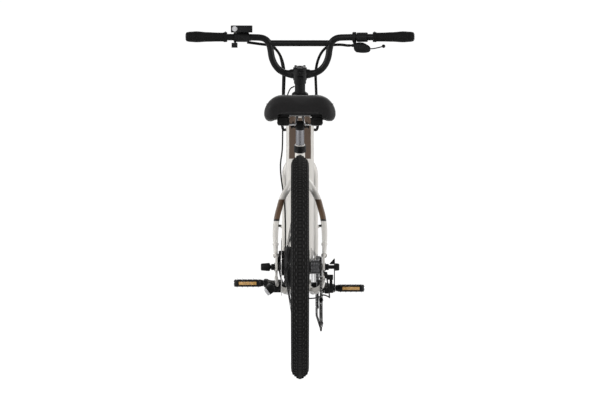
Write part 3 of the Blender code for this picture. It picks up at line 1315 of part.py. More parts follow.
def make_stem(steer):
    """Headset cover, spacers and stem: the clamp on the steerer and the clamp on the bar."""
    low = steer_point(HEAD_TOP) + STEER_UP * GAP
    stack = (STEM_BOTTOM - HEAD_TOP) / STEER_UP.z
    top = (STEM_TOP - HEAD_TOP) / STEER_UP.z
    profile = [(0.0, 0.0), (0.0280, 0.0), (0.0280, 0.0120), (0.0175, 0.0190), (0.0175, stack),
               (0.0205, stack + 0.0005), (0.0205, top - 0.003), (0.0170, top), (0.0, top)]
    stem = turned("stem", profile, 12, low, STEER_UP, "black_metal")
    centre = bar_centre()
    root = steer_point(BAR_BASE_HEIGHT - 0.008)
    route = [root, root.lerp(centre, 0.5), centre]
    join(stem, tube("reach", route, [0.0185, 0.0165, 0.0180], [0.0180, 0.0150, 0.0170], 8, "black_metal"))
    clamp = BAR_CLAMP_RADIUS + 0.0062
    join(stem, rod("clamp", centre - RIGHT * 0.0230, centre + RIGHT * 0.0230, clamp, 12))
    cut(stem, rod("steerer_bore", low - STEER_UP * 0.01, steer_point(STEERER_TOP) + STEER_UP * RUN,
                  around(STEERER_RADIUS, 12), 12))
    cut(stem, rod("bar_bore", centre - RIGHT * 0.03, centre + RIGHT * 0.03, around(BAR_CLAMP_RADIUS, 10), 10))
    return hang(stem, steer)


def bar_route():
    """The right half of the bar's centre line from its middle, with a radius each."""
    c = bar_centre()
    rise = BAR_HEIGHT - BAR_BASE_HEIGHT
    fat = BAR_CLAMP_RADIUS
    thin = BAR_RADIUS
    return [(c, fat), (c + Vector((0.0260, 0.0, 0.0)), fat), (c + Vector((0.0400, 0.0, 0.0020)), 0.0125),
            (c + Vector((0.0530, -0.0020, 0.0130)), thin), (c + Vector((0.0640, -0.0070, 0.0300)), thin),
            (c + Vector((0.0980, -0.0260, rise * 0.67)), thin), (c + Vector((0.1110, -0.0310, rise * 0.86)), thin),
            (c + Vector((0.1310, -0.0350, rise * 0.985)), thin), (c + Vector((0.1600, -0.0390, rise)), thin),
            (bar_point(0.200), thin), (bar_point(BAR_HALF_WIDTH - 0.003), thin)]


def bar_point(x):
    """The bar's centre at a distance out from the middle, on its straight swept-back ends."""
    return Vector((x, bar_centre().y - 0.0455 - (abs(x) - 0.200) * BAR_SWEEP, BAR_HEIGHT))


def bar_way(side):
    return (bar_point(side * 0.300) - bar_point(side * 0.200)).normalized()


def make_handlebar(steer):
    half = bar_route()
    spots = [Vector((-p.x, p.y, p.z)) for p, r in reversed(half)] + [p for p, r in half[1:]]
    radii = [r for p, r in reversed(half)] + [r for p, r in half[1:]]
    bar = tube("handlebar", spots, radii, radii, 8, "black_metal", side=FORWARD)
    c = bar_centre()
    end = Vector((0.1070, c.y - 0.0290, CROSSBAR_HEIGHT))
    join(bar, rod("crossbar", Vector((-end.x, end.y, end.z)), end, 0.0104, 8))
    return hang(bar, steer)


def make_grip(name, side, steer):
    """A grip with a palm wing, an inner clamp collar and a closed end."""
    start = BAR_HALF_WIDTH + 0.0035 - GRIP_LENGTH
    stations = ((0.0, 0.0165, 0.0165, 0.0), (0.088, 0.0168, 0.0168, 0.0), (0.092, 0.0150, 0.0152, 0.0),
                (0.25, 0.0152, 0.0170, 0.0015), (0.47, 0.0162, 0.0200, 0.0045), (0.74, 0.0185, 0.0255, 0.0095),
                (0.90, 0.0172, 0.0215, 0.0070), (0.98, 0.0150, 0.0180, 0.0050), (1.0, 0.0110, 0.0130, 0.0040))
    rings = []
    for along, tall, deep, back in stations:
        centre = bar_point(side * (start + GRIP_LENGTH * along)) - FORWARD * back
        turns = [math.tau * k / 8 for k in range(8)]
        rings.append([centre + FORWARD * deep * math.cos(t) + UP * tall * math.sin(t) for t in turns])
    grip = skin(name, rings, "rubber")
    way = bar_way(side)
    end = bar_point(side * (BAR_HALF_WIDTH - 0.003)) + way * RUN
    cut(grip, rod("bore", bar_point(side * (start - 0.02)), end, around(BAR_RADIUS, 8), 8))
    return hang(grip, steer)


def clamp_body(name, side, near, far, radius, finish_name="black_metal"):
    """A clamp's solid body round the bar between two distances from the middle. bore_clamp opens it."""
    return rod(name, bar_point(side * near), bar_point(side * far), radius, 12, finish_name)


def bore_clamp(clamp, side):
    """Cuts the bar's room out of a clamp and of everything joined to it."""
    return cut(clamp, rod("bar_room", bar_point(side * 0.12), bar_point(side * 0.27), around(BAR_RADIUS, 12), 12))


def lever_pivot(side, place):
    return bar_point(side * place) + FORWARD * LEVER_PIVOT_REACH


def make_perch(name, side, near, far, pivot_x, steer):
    """A brake lever's body: bar clamp, cylinder and the fork that holds the lever."""
    ring = clamp_body(name, side, near, far, 0.0160)
    spot = lever_pivot(side, pivot_x)
    middle = bar_point(side * (near + far) / 2)
    join(ring, block("neck", middle + FORWARD * 0.0240, ((far - near) * 0.9, 0.0260, 0.0180)))
    body = Vector(((spot.x + middle.x) / 2, spot.y - 0.0100, spot.z))
    wide = abs(spot.x - middle.x) + 0.026
    join(ring, block("body", body, (wide, 0.0300, 0.0210)))
    cylinder = Vector((spot.x - side * 0.010, spot.y - 0.0140, spot.z))
    join(ring, rod("cylinder", cylinder, cylinder - RIGHT * side * 0.0180, 0.0080, 8))
    cut(ring, block("slot", spot + FORWARD * 0.010, (wide + 0.03, 0.0400, 0.0080 + 2 * RUN)))
    join(ring, rod("pin", spot - UP * 0.0080, spot + UP * 0.0080, LEVER_PIN_RADIUS, 8))
    bore_clamp(ring, side)
    return hang(ring, steer)


def make_lever(name, side, pivot_x, turn):
    """A brake blade: an eye on its pivot and a swept finger blade with a ball end."""
    spot = lever_pivot(side, pivot_x)
    route = [spot, spot + Vector((side * 0.030, 0.0060, 0.0)), spot + Vector((side * 0.055, 0.0100, -0.0010)),
             spot + Vector((side * 0.095, 0.0080, -0.0020)), spot + Vector((side * 0.132, 0.0080, -0.0030)),
             spot + Vector((side * 0.150, 0.0120, -0.0030))]
    blade = tube(name, route, [0.0038, 0.0038, 0.0055, 0.0055, 0.0055, 0.0060],
                 [0.0060, 0.0050, 0.0038, 0.0035, 0.0038, 0.0050], 6, "black_metal", side=UP)
    join(blade, rod("eye", spot - UP * 0.0040, spot + UP * 0.0040, 0.0080, 12))
    cut(blade, rod("pin_hole", spot - UP * 0.01, spot + UP * 0.01, around(LEVER_PIN_RADIUS, 8), 8))
    return hang(blade, turn)


def make_display(steer):
    """The display's housing on its clamp, with a socket for its round button."""
    ring = clamp_body("display_unit", -1, 0.2035, 0.2125, 0.0160, "black_plastic")
    base = bar_point(-0.200)
    pod = Vector((-0.1957, base.y - 0.002, BAR_HEIGHT + DISPLAY_LIFT))
    join(ring, block("pod", pod, (0.0720, 0.0360, 0.0220), "black_plastic"))
    way = bar_way(-1)
    turn = Matrix((way, UP.cross(way), UP)).transposed()
    join(ring, block("neck", bar_point(-0.2080) + UP * 0.0150, (0.0084, 0.0180, 0.0170), "black_plastic", turn=turn))
    button = button_spot()
    cut(ring, rod("socket", button - FORWARD * 0.01, button + FORWARD * 0.0060, BUTTON_RADIUS + RUN, 12))
    bore_clamp(ring, -1)
    return hang(ring, steer)


def button_spot():
    """The centre of the display housing's rear face, at its round button."""
    return Vector((-0.2190, bar_point(-0.200).y - 0.020, BAR_HEIGHT + DISPLAY_LIFT))


def make_button(press):
    spot = button_spot()
    back = spot - FORWARD * 0.0020
    cap = rod("display_button", back, spot + FORWARD * (0.0060 - BUTTON_TRAVEL - RUN), BUTTON_RADIUS, 12,
              "display_grey")
    return hang(cap, press)


def make_throttle(turn):
    """A thumb throttle: a ring on the bar with a paddle hanging under it."""
    ring = clamp_body("throttle_paddle", -1, 0.2131, 0.2218, 0.0155, "black_plastic")
    spot = bar_point(-0.2175)
    join(ring, block("stalk", spot + Vector((0.0, 0.0, -0.0205)), (0.0078, 0.0060, 0.0110), "black_plastic"))
    join(ring, block("paddle", spot + Vector((-0.0020, -0.001, -0.0270)), (0.0200, 0.0060, 0.0165), "black_plastic"))
    bore_clamp(ring, -1)
    return hang(ring, turn)


def make_shifter(steer):
    """The gear shifter's pod under the bar, with its clamp, domed cap, lever slot and barrel adjuster."""
    ring = clamp_body("shifter_pod", 1, 0.1770, 0.1880, 0.0180, "black_plastic")
    base = bar_point(0.1825)
    join(ring, block("neck", base + Vector((0.001, 0.0, -0.0220)), (0.0105, 0.0200, 0.0140), "black_plastic"))
    pod = Vector((0.2080, base.y - 0.004, SHIFTER_HEIGHT + 0.0040))
    join(ring, block("pod", pod, (0.0560, 0.0320, 0.0350), "black_plastic", 0.005))
    cap = [(0.0, 0.0), (0.0135, 0.0), (0.0135, 0.0050), (0.0105, 0.0085), (0.0, 0.0085)]
    place = Vector((0.2210, pod.y - 0.0130, pod.z - 0.0020))
    join(ring, turned("cap", cap, 12, place, -FORWARD, "black_plastic"))
    adjuster = Vector((0.1830, base.y, SHIFTER_HEIGHT + 0.0110))
    join(ring, rod("adjuster", adjuster, adjuster - RIGHT * 0.0150, 0.0040, 8, "black_plastic"))
    slot = shift_pivot() + Vector((0.0060, 0.0090, 0.0))
    cut(ring, block("slot", slot, (0.0340, 0.0400, SHIFT_LEVER_THICKNESS + 2 * RUN)))
    bore_clamp(ring, 1)
    return hang(ring, steer)


def shift_pivot():
    return Vector((0.2240, bar_point(0.1825).y + 0.0020, SHIFTER_HEIGHT))


def make_shift_lever(turn):
    """The thumb lever, which pivots in the pod's slot."""
    spot = shift_pivot()
    half = SHIFT_LEVER_THICKNESS / 2
    lever = rod("shift_lever", spot - UP * half, spot + UP * half, 0.0065, 10)
    route = [spot + Vector((0.002, -0.002, 0.0)), spot + Vector((0.0180, -0.0060, 0.0)),
             spot + Vector((0.0370, -0.0110, 0.0030)), spot + Vector((0.0560, -0.0170, 0.0080))]
    join(lever, tube("arm", route, 0.0020, 0.0034, 6, "black_metal", side=UP))
    join(lever, block("pad", route[-1] + Vector((0.002, 0.0, 0.0)), (0.0140, 0.0070, 0.0110), "black_plastic", 0.002))
    return hang(lever, turn)


# Cables


def make_cable(name, points, radius):
    """A cable or a wrapped bundle along its own hand-chosen route."""
    path = [Vector(point) for point in points]
    line = bpy.data.curves.new(name, "CURVE")
    line.dimensions = "3D"
    line.bevel_depth = radius
    line.bevel_resolution = 1
    line.use_fill_caps = True
    spline = line.splines.new("POLY")
    spline.points.add(len(path) - 1)
    for point, spot in zip(spline.points, path):
        point.co = (*spot, 1.0)
    line.materials.append(finish("rubber"))
    cable = bpy.data.objects.new(name, line)
    bpy.context.scene.collection.objects.link(cable)
    return cable


def make_bar_bundle(name, side, start):
    """The wrapped wires from a bar end's controls, down inside the U of the bar to the frame's side."""
    wall = DOWN_TUBE_HALF_WIDTH + GAP
    upper = [(0.1000, 0.0100, -0.0260), (0.0760, 0.0190, -0.0440), (0.0600, 0.0240, -0.0760)]
    lower = [(0.0530, 0.0689, 0.0850), (0.0540, 0.0589, 0.0350),
             (0.0560, 0.0419, -0.0150), (0.0590, 0.0279, -0.0600),
             (0.0600, 0.0179, -0.0900)]
    foot = steer_point(HEAD_TOP) + Vector((0.0, 0.0136, -0.1085))
    points = [(x, bar_centre().y + y, BAR_HEIGHT + z) for x, y, z in upper]
    points += [(x, steer_point(HEAD_TOP).y + y, HEAD_TOP + z) for x, y, z in lower]
    points += [(0.0560, foot.y, foot.z), (wall, foot.y, foot.z)]
    points = start + points
    return make_cable(name, [(side * x, y, z) for x, y, z in points], BUNDLE_RADIUS)


def make_front_hose(steer):
    """The front brake's hose, from the left lever down beside the fork to the calliper."""
    start = lever_pivot(-1, LEFT_PIVOT_X) + Vector((0.0280 + GAP, -0.0140, 0.0))
    over = ring_spot(FRONT_CALIPER_TURN, 1.0, 0.0)
    end = caliper_spot(FRONT_AXLE, FRONT_CALIPER_TURN, FRONT_ROTOR_RADIUS, FRONT_ROTOR_X)
    end = end + over * (CALIPER_HALF_HEIGHT + GAP) - RIGHT * 0.0070
    upper = [(-0.1280, 0.0000, -0.0040), (-0.1000, 0.0240, -0.0160), (-0.0740, 0.0380, -0.0460)]
    middle = [(-0.0640, 0.0849, 0.0950), (-0.0660, 0.0809, 0.0250),
              (-0.0620, 0.0779, -0.0450), (-0.0600, 0.0749, -0.1050),
              (-0.0600, 0.0929, -0.1750)]
    lower = [(-0.0660, -0.1650, 0.3300), (-0.0630, -0.1710, 0.2800),
             (-0.0540, -0.1570, 0.2200), (-0.0500, -0.1270, 0.1500),
             (-0.0485, -0.1010, 0.0700)]
    points = [tuple(start), tuple(start + RIGHT * 0.008)]
    points += [(x, bar_centre().y + y, BAR_HEIGHT + z) for x, y, z in upper]
    points += [(x, steer_point(HEAD_TOP).y + y, HEAD_TOP + z) for x, y, z in middle]
    points += [(x, FRONT_AXLE.y + y, FRONT_AXLE.z + z) for x, y, z in lower]
    points += [tuple(end + over * 0.010), tuple(end)]
    cable = make_cable("front_brake_hose", points, HOSE_RADIUS)
    cable.parent = steer
    cable.matrix_parent_inverse = steer.matrix_world.inverted()
    return cable


def make_rear_hose():
    """The stretch of the rear brake's hose that shows, from the gusset along the stay to the calliper."""
    over = ring_spot(REAR_CALIPER_TURN, 1.0, 0.0)
    end = caliper_spot(REAR_AXLE, REAR_CALIPER_TURN, REAR_ROTOR_RADIUS, REAR_ROTOR_X)
    end = end + over * (CALIPER_HALF_HEIGHT + GAP) - RIGHT * 0.0070
    wall = BB.y - GUSSET_REACH - GAP
    along = [(-0.0390, -0.1010, 0.0130), (-0.0440, -0.1610, 0.0085),
             (-0.0560, -0.2560, 0.0170), (-0.0640, -0.3060, 0.0480),
             (-0.0655, -0.3310, 0.0780)]
    points = [(-0.0240, wall, BB.z + 0.0190), (-0.0250, wall - 0.010, BB.z + 0.0190)]
    points += [(x, BB.y + y, BB.z + z) for x, y, z in along]
    points += [tuple(end + over * 0.010), tuple(end)]
    return make_cable("rear_brake_hose", points, HOSE_RADIUS)


def make_shift_cable():
    """The stretch of the shift cable that shows, from the gusset under the stay round to the derailleur."""
    wall = BB.y - GUSSET_REACH - GAP
    end = REAR_AXLE + Vector((0.0810, -0.0110 - GAP, -0.0250))
    along = [(0.0400, -0.1310, -0.0380), (0.0560, -0.2510, -0.0320), (0.0740, -0.3460, -0.0220)]
    behind = [(0.0900, 0.0350, -0.0940), (0.0920, -0.0210, -0.0940),
              (0.0900, -0.0490, -0.0740), (0.0850, -0.0450, -0.0420)]
    points = [(0.0230, wall, BB.z - 0.0100), (0.0230, wall - 0.008, BB.z - 0.0105),
              (0.0230, wall - 0.022, BB.z - 0.0260), (0.0260, wall - 0.040, BB.z - 0.0380)]
    points += [(x, BB.y + y, BB.z + z) for x, y, z in along]
    points += [(x, REAR_AXLE.y + y, REAR_AXLE.z + z) for x, y, z in behind]
    points += [tuple(end - FORWARD * 0.012), tuple(end)]
    return make_cable("shift_cable", points, 0.0022)


# Assembly


def shade(made, angle=35.0):
    made.data.shade_smooth()
    made.data.set_sharp_from_angle(angle=math.radians(angle))


def build_frame():
    make_head_tube()
    make_down_tube()
    make_seat_tube()
    make_seat_collar()
    make_bottom_bracket()
    make_controller()
    for name, side in (("left", -1), ("right", 1)):
        make_chainstay("chainstay_" + name, side)
        make_seatstay("seatstay_" + name, side)
    make_rear_axle()
    make_caliper("rear_caliper", REAR_AXLE, REAR_CALIPER_TURN, REAR_ROTOR_RADIUS, REAR_ROTOR_X)
    make_derailleur_guard()
    make_kickstand_bracket()
    make_battery(pivot("battery_hinge", battery_hinge_spot(), RIGHT))
    make_kickstand_leg(pivot("kickstand_hinge", KICKSTAND_PIVOT, KICKSTAND_AXIS))


def build_saddle():
    slide = pivot("seatpost_slide", seat_point(SEAT_TUBE_TOP), SEAT_UP)
    make_seatpost(slide)
    make_saddle_base(slide)
    make_saddle_cushion(slide)


def build_front():
    steer = pivot("steering_axis", steer_point(HEAD_TOP), STEER_UP)
    make_fork(steer)
    make_stem(steer)
    make_handlebar(steer)
    hang(make_front_axle(), steer)
    hang(make_caliper("front_caliper", FRONT_AXLE, FRONT_CALIPER_TURN, FRONT_ROTOR_RADIUS, FRONT_ROTOR_X), steer)
    make_front_hose(steer)
    make_front_wheel(pivot("front_wheel_axis", FRONT_AXLE, RIGHT, steer))
    for name, side, near, far, lever_x in (("left", -1, 0.1720, 0.2030, LEFT_PIVOT_X),
                                           ("right", 1, 0.1920, 0.2260, RIGHT_PIVOT_X)):
        make_grip("grip_" + name, side, steer)
        make_perch("brake_perch_" + name, side, near, far, lever_x, steer)
        hinge = pivot("brake_lever_pivot_" + name, lever_pivot(side, lever_x), UP * -side, steer)
        make_lever("brake_lever_" + name, side, lever_x, hinge)
    make_display(steer)
    make_button(pivot("button_slide", button_spot(), FORWARD, steer))
    make_throttle(pivot("throttle_axis", bar_point(-0.2175), -bar_way(-1), steer))
    make_shifter(steer)
    make_shift_lever(pivot("shift_lever_pivot", shift_pivot(), UP, steer))
    left = lever_pivot(-1, LEFT_PIVOT_X)
    start = [(-left.x, left.y - 0.0140, BAR_HEIGHT - 0.0155), (0.1350, bar_centre().y -0.0040, BAR_HEIGHT - 0.0210)]
    make_bar_bundle("wire_bundle_left", -1, start)
    socket = Vector((0.1680 - GAP, bar_point(0.1825).y, SHIFTER_HEIGHT + 0.0110))
    start = [tuple(socket), tuple(socket - RIGHT * 0.010), (0.1350, bar_centre().y -0.0200, BAR_HEIGHT - 0.0240)]
    make_bar_bundle("wire_bundle_right", 1, start)


def build_drive():
    make_chain()
    crank = pivot("crank_axis", BB, RIGHT)
    make_left_crank(crank)
    phase = make_chainring(crank)
    make_right_crank(crank, phase)
    for name, side in (("left", -1), ("right", 1)):
        make_pedal("pedal_" + name, side, pivot("pedal_axis_" + name, crank_spot(side), RIGHT, crank))
    make_rear_wheel(pivot("rear_wheel_axis", REAR_AXLE, RIGHT))
    make_freewheel(pivot("freewheel_axis", REAR_AXLE, RIGHT))
    swing = pivot("derailleur_swing_axis", SWING_PIVOT, FORWARD)
    make_derailleur_link(swing)
    level = pivot("derailleur_level_axis", LEVEL_PIVOT, FORWARD, swing)
    make_derailleur_knuckle(level)
    cage = pivot("cage_axis", CAGE_PIVOT, RIGHT, level)
    make_cage(cage)
    for name, spot in (("upper_pulley", UPPER_PULLEY), ("lower_pulley", LOWER_PULLEY)):
        make_pulley(name, spot, pivot(name + "_axis", Vector((PULLEY_X, spot.y, spot.z)), RIGHT, cage))


clear_scene()
build_frame()
build_saddle()
build_front()
build_drive()
make_rear_hose()
make_shift_cable()
for thing in bpy.data.objects:
    if thing.type == "MESH":
        shade(thing)
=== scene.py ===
import math

import bpy
from mathutils import Matrix, Vector


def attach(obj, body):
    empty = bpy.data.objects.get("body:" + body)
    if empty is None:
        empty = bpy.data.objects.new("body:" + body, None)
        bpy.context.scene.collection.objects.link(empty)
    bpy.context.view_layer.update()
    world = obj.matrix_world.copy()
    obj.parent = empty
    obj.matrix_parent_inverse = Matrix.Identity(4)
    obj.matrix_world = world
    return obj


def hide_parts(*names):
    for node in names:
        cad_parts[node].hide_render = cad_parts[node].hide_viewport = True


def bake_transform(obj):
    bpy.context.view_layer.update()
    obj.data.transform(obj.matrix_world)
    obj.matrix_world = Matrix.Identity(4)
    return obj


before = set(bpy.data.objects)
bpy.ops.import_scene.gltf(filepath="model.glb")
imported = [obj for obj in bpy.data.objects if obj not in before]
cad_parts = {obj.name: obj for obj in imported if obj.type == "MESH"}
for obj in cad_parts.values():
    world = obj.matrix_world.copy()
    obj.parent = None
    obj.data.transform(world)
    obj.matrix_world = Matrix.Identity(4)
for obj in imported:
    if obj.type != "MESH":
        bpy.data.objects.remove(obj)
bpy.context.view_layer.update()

# A step-through electric bike, seen from straight behind. Metres, +Y forward, +X the drive side, +Z up.

print("frame loaded with", len(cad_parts), "nodes")

right = Vector((1.0, 0.0, 0.0))
forward = Vector((0.0, 1.0, 0.0))
up = Vector((0.0, 0.0, 1.0))

# the main points and directions, as in the CAD
bike = {"wheelbase": 1.13, "wheelRadius": 0.35, "bracketY": -0.109043, "bracketZ": 0.282, "headAngle": 70.0,
        "forkRake": 0.045, "seatAngle": 73.0, "crankTilt": 4.0, "crankLength": 0.17, "headLow": 0.715,
        "headHigh": 0.905, "seatLow": 0.35, "collarLow": 0.7145, "barBase": 0.985, "stemReach": 0.074,
        "leftLever": 0.178, "rightLever": 0.196, "leverAhead": 0.046}
rearAxle = Vector((0.0, -bike["wheelbase"] / 2, bike["wheelRadius"]))
frontAxle = Vector((0.0, bike["wheelbase"] / 2, bike["wheelRadius"]))
bracket = Vector((0.0, bike["bracketY"], bike["bracketZ"]))
headTurn = math.radians(bike["headAngle"])
seatTurn = math.radians(bike["seatAngle"])
steerUp = Vector((0.0, -math.cos(headTurn), math.sin(headTurn)))
steerForward = Vector((0.0, math.sin(headTurn), math.cos(headTurn)))
seatUp = Vector((0.0, -math.cos(seatTurn), math.sin(seatTurn)))
steerRoot = frontAxle - steerForward * bike["forkRake"]


def steerPoint(height):
    return steerRoot + steerUp * ((height - steerRoot.z) / steerUp.z)


def seatPoint(height):
    return bracket + seatUp * ((height - bracket.z) / seatUp.z)


def wheelSpot(turn, radius, x=0.0):  # from a wheel's centre: turn runs from forward to up
    return Vector((x, radius * math.cos(turn), radius * math.sin(turn)))


bothSides = ((-1, "left"), (1, "right"))


def onSide(side, origin, points):  # points from an origin, mirrored for the left side
    return [origin + Vector((side * x, y, z)) for x, y, z in points]


def acrossFrom(spot):  # its place on the bike's other side
    return Vector((-spot.x, spot.y, spot.z))


# Camera, light and floor

camera = {"back": 12.565, "height": 0.55, "lens": 230.4}
bpy.ops.object.camera_add(location=(0.0, -camera["back"], camera["height"]),
                          rotation=(math.radians(90), 0, 0))
lookCamera = bpy.context.active_object
lookCamera.data.lens = camera["lens"]
lookCamera.data.sensor_width = 36.0
lookCamera.data.clip_end = 100.0
bpy.context.scene.camera = lookCamera
bpy.context.scene.view_settings.view_transform = "Standard"


class Wire:
    # one shader socket: sums written with it add their Math nodes
    def __init__(self, tree, socket=None):
        self.tree = tree
        self.socket = socket

    def node(self, kind, settings=None, sockets=None, out=0):
        made = self.tree.nodes.new(kind)
        for key, value in (settings or {}).items():
            if key == "stops":
                for stop, (place, colour) in zip(made.color_ramp.elements, value):
                    stop.position, stop.color = place, colour
            else:
                setattr(made, key, value)
        for key, value in (sockets or {}).items():
            if isinstance(value, Wire):
                self.tree.links.new(value.socket, made.inputs[key])
            else:
                made.inputs[key].default_value = value
        return Wire(self.tree, made.outputs[out])

    def maths(self, operation, first, second=0.0):
        return self.node("ShaderNodeMath", {"operation": operation}, {0: first, 1: second})

    def __add__(self, other):
        return self.maths("ADD", self, other)

    def __sub__(self, other):
        return self.maths("SUBTRACT", self, other)

    def __rsub__(self, other):
        return self.maths("SUBTRACT", other, self)

    def __mul__(self, other):
        return self.maths("MULTIPLY", self, other)

    def __truediv__(self, other):
        return self.maths("DIVIDE", self, other)

    __radd__ = __add__
    __rmul__ = __mul__


def feed(shader, name, wire):
    wire.tree.links.new(wire.socket, shader.inputs[name])


def newLook(name, colour, **fixed):
    made = bpy.data.materials.new(name)
    made.use_nodes = True
    shader = made.node_tree.nodes["Principled BSDF"]
    shader.inputs["Base Color"].default_value = (*colour, 1.0)
    for key, value in fixed.items():
        words = "".join(" " + letter if letter.isupper() else letter for letter in key).strip()
        words = words.replace("I O R", "IOR")
        shader.inputs[words].default_value = value
    spot = Wire(made.node_tree).node("ShaderNodeTexCoord", out="Object")
    return made, shader, spot


def grain(spot, scale, detail=3.0, stretch=(1.0, 1.0, 1.0)):
    laid = spot.node("ShaderNodeMapping", {}, {"Vector": spot, "Scale": stretch})
    return spot.node("ShaderNodeTexNoise", {}, {"Vector": laid, "Scale": scale, "Detail": detail})


def blendColour(mask, low, high):
    low = low if isinstance(low, Wire) else (*low, 1.0)
    high = high if isinstance(high, Wire) else (*high, 1.0)
    return mask.node("ShaderNodeMix", {"data_type": "RGBA"}, {0: mask, 6: low, 7: high}, 2)


def stepMask(value, start, end):  # 0 below start, 1 above end
    return value.node("ShaderNodeMapRange", {}, {"Value": value, "From Min": start, "From Max": end})


def raised(shader, height, strength, distance):
    bump = height.node("ShaderNodeBump", {}, {"Height": height, "Strength": strength, "Distance": distance})
    feed(shader, "Normal", bump)


def axisOf(spot, letter):
    return spot.node("ShaderNodeSeparateXYZ", {}, {0: spot}, letter)


stage = {"floorReach": 60.0, "floorDrop": 0.0002, "bareShare": 0.72, "paperGlow": 1.3, "worldStrength": 0.45,
         "worldShown": 1.04, "lampSize": 2.4, "lampAim": (0.0, 0.0, 0.6),
         "lamps": {"keyLamp": (75.0, (-1.2, -5.0, 3.2)), "leftLamp": (95.0, (-3.6, -0.9, 1.6)),
                   "rightLamp": (95.0, (3.6, -0.9, 1.6)), "rimLamp": (45.0, (1.0, 4.2, 3.2))}}


def setStage():
    bpy.ops.object.select_all(action="DESELECT")
    bpy.ops.mesh.primitive_plane_add(size=stage["floorReach"], location=(0.0, 0.0, -stage["floorDrop"]))
    floor = bpy.context.active_object
    floor.name = "studio_floor"
    look, shader, spot = newLook("studioPaper", (0.9, 0.9, 0.9))
    feed(shader, "Roughness", 0.85 + grain(spot, 3.0) * 0.1)
    seen = spot.node("ShaderNodeLightPath", out="Is Camera Ray")
    glow = spot.node("ShaderNodeEmission", {},
                     {"Color": (1.0, 1.0, 1.0, 1.0), "Strength": stage["paperGlow"]})
    paper = Wire(look.node_tree, shader.outputs[0])
    both = spot.node("ShaderNodeMixShader", {}, {0: seen * stage["bareShare"], 1: paper, 2: glow})
    feed(look.node_tree.nodes["Material Output"], "Surface", both)
    floor.data.materials.append(look)
    world = bpy.data.worlds.new("studioLight")
    bpy.context.scene.world = world
    world.use_nodes = True
    sky = world.node_tree.nodes["Background"]
    seen = Wire(world.node_tree).node("ShaderNodeLightPath", out="Is Camera Ray")
    sky.inputs["Color"].default_value = (1.0, 1.0, 1.0, 1.0)
    feed(sky, "Strength", stage["worldStrength"] + seen * (stage["worldShown"] - stage["worldStrength"]))
    for name, (watts, place) in stage["lamps"].items():
        bpy.ops.object.light_add(type="AREA", location=place)
        lamp = bpy.context.active_object
        lamp.name = name
        lamp.data.energy = watts
        lamp.data.size = stage["lampSize"]
        lamp.rotation_euler = (Vector(stage["lampAim"]) - Vector(place)).to_track_quat("-Z", "Y").to_euler()
    print("stage set")


setStage()

# Finishes. Colours are linear. A user changes the bike's paint here.

paints = {
    "cream": (0.6, 0.58, 0.545), "brown": (0.068, 0.041, 0.025), "stayBrown": (0.105, 0.062, 0.036),
    "black": (0.0034, 0.0034, 0.0036), "cast": (0.0051, 0.0051, 0.0054), "plastic": (0.0065, 0.0065, 0.0068),
    "rubber": (0.0036, 0.0036, 0.0036), "tyre": (0.004, 0.0039, 0.0038), "tyreWall": (0.0075, 0.0073, 0.0071),
    # tread: the tread blocks' tops, painted paler than the tyre as painted light, standing for the shade the
    # grooves don't get
    "tread": (0.015, 0.0147, 0.0143), "saddle": (0.0075, 0.007, 0.0072), "alloy": (0.24, 0.24, 0.255),
    "steel": (0.5, 0.5, 0.51), "spoke": (0.06, 0.06, 0.062), "chain": (0.09, 0.088, 0.085),
    "cog": (0.2, 0.2, 0.205), "rotorHub": (0.42, 0.42, 0.44), "rotorBand": (0.62, 0.61, 0.6),
    "amber": (0.47, 0.25, 0.065), "amberEdge": (0.24, 0.12, 0.03), "amberCell": (0.62, 0.36, 0.11),
    "pale": (0.44, 0.44, 0.45), "glass": (0.006, 0.007, 0.008)}
panel = {"halfWidth": 0.0365, "lowEdge": 0.697, "bandLow": 0.4985, "bandHigh": 0.561, "lineLow": 0.4925,
         "fade": 0.0006, "bandFade": 0.0008}


def shades(colour, low, high):
    return tuple(c * low for c in colour), tuple(c * high for c in colour)


def hubDistance(spot, centre):  # how far a point lies from a wheel's axle line
    laid = spot.node("ShaderNodeMapping", {"vector_type": "POINT"},
                     {"Vector": spot, "Location": tuple(-centre)})
    y, z = axisOf(laid, "Y"), axisOf(laid, "Z")
    square = y * y + z * z
    return square.maths("SQRT", square)


def paintLook(name, colour):
    made, shader, spot = newLook(name, colour, CoatWeight=0.55, CoatRoughness=0.1)
    cloud = grain(spot, 9.0, 2.0)
    body = blendColour(cloud, *shades(colour, 0.93, 1.05))
    feed(shader, "Base Color", body)
    feed(shader, "Roughness", 0.3 + cloud * 0.08)
    raised(shader, grain(spot, 620.0, 2.0), 0.06, 0.0004)
    return made, shader, spot, body


def metalLook(name, colour, roughness, stretch=(1.0, 1.0, 1.0)):
    made, shader, spot = newLook(name, colour, Metallic=1.0)
    brush = grain(spot, 240.0, 4.0, stretch)
    feed(shader, "Base Color", blendColour(grain(spot, 14.0, 2.0), *shades(colour, 0.85, 1.0)))
    feed(shader, "Roughness", roughness + brush * 0.14)
    raised(shader, brush, 0.1, 0.0003)
    return made


def matteLook(name, colour, roughness, scale, strength, distance, sheen=0.0):
    made, shader, spot = newLook(name, colour, SheenWeight=sheen, SpecularIORLevel=0.12)
    pebble = spot.node("ShaderNodeTexVoronoi", {}, {"Vector": spot, "Scale": scale})
    cloud = grain(spot, 22.0, 3.0)
    feed(shader, "Base Color", blendColour(cloud, *shades(colour, 0.75, 1.35)))
    feed(shader, "Roughness", roughness + cloud * 0.12)
    raised(shader, pebble, strength, distance)
    return made


def blackCoat(name, colour, roughness):
    made, shader, spot = newLook(name, colour, CoatWeight=0.05, CoatRoughness=0.18, SpecularIORLevel=0.14)
    cloud = grain(spot, 18.0, 3.0)
    feed(shader, "Base Color", blendColour(cloud, *shades(colour, 0.8, 1.3)))
    feed(shader, "Roughness", roughness + cloud * 0.1)
    raised(shader, grain(spot, 900.0, 2.0), 0.1, 0.0003)
    return made


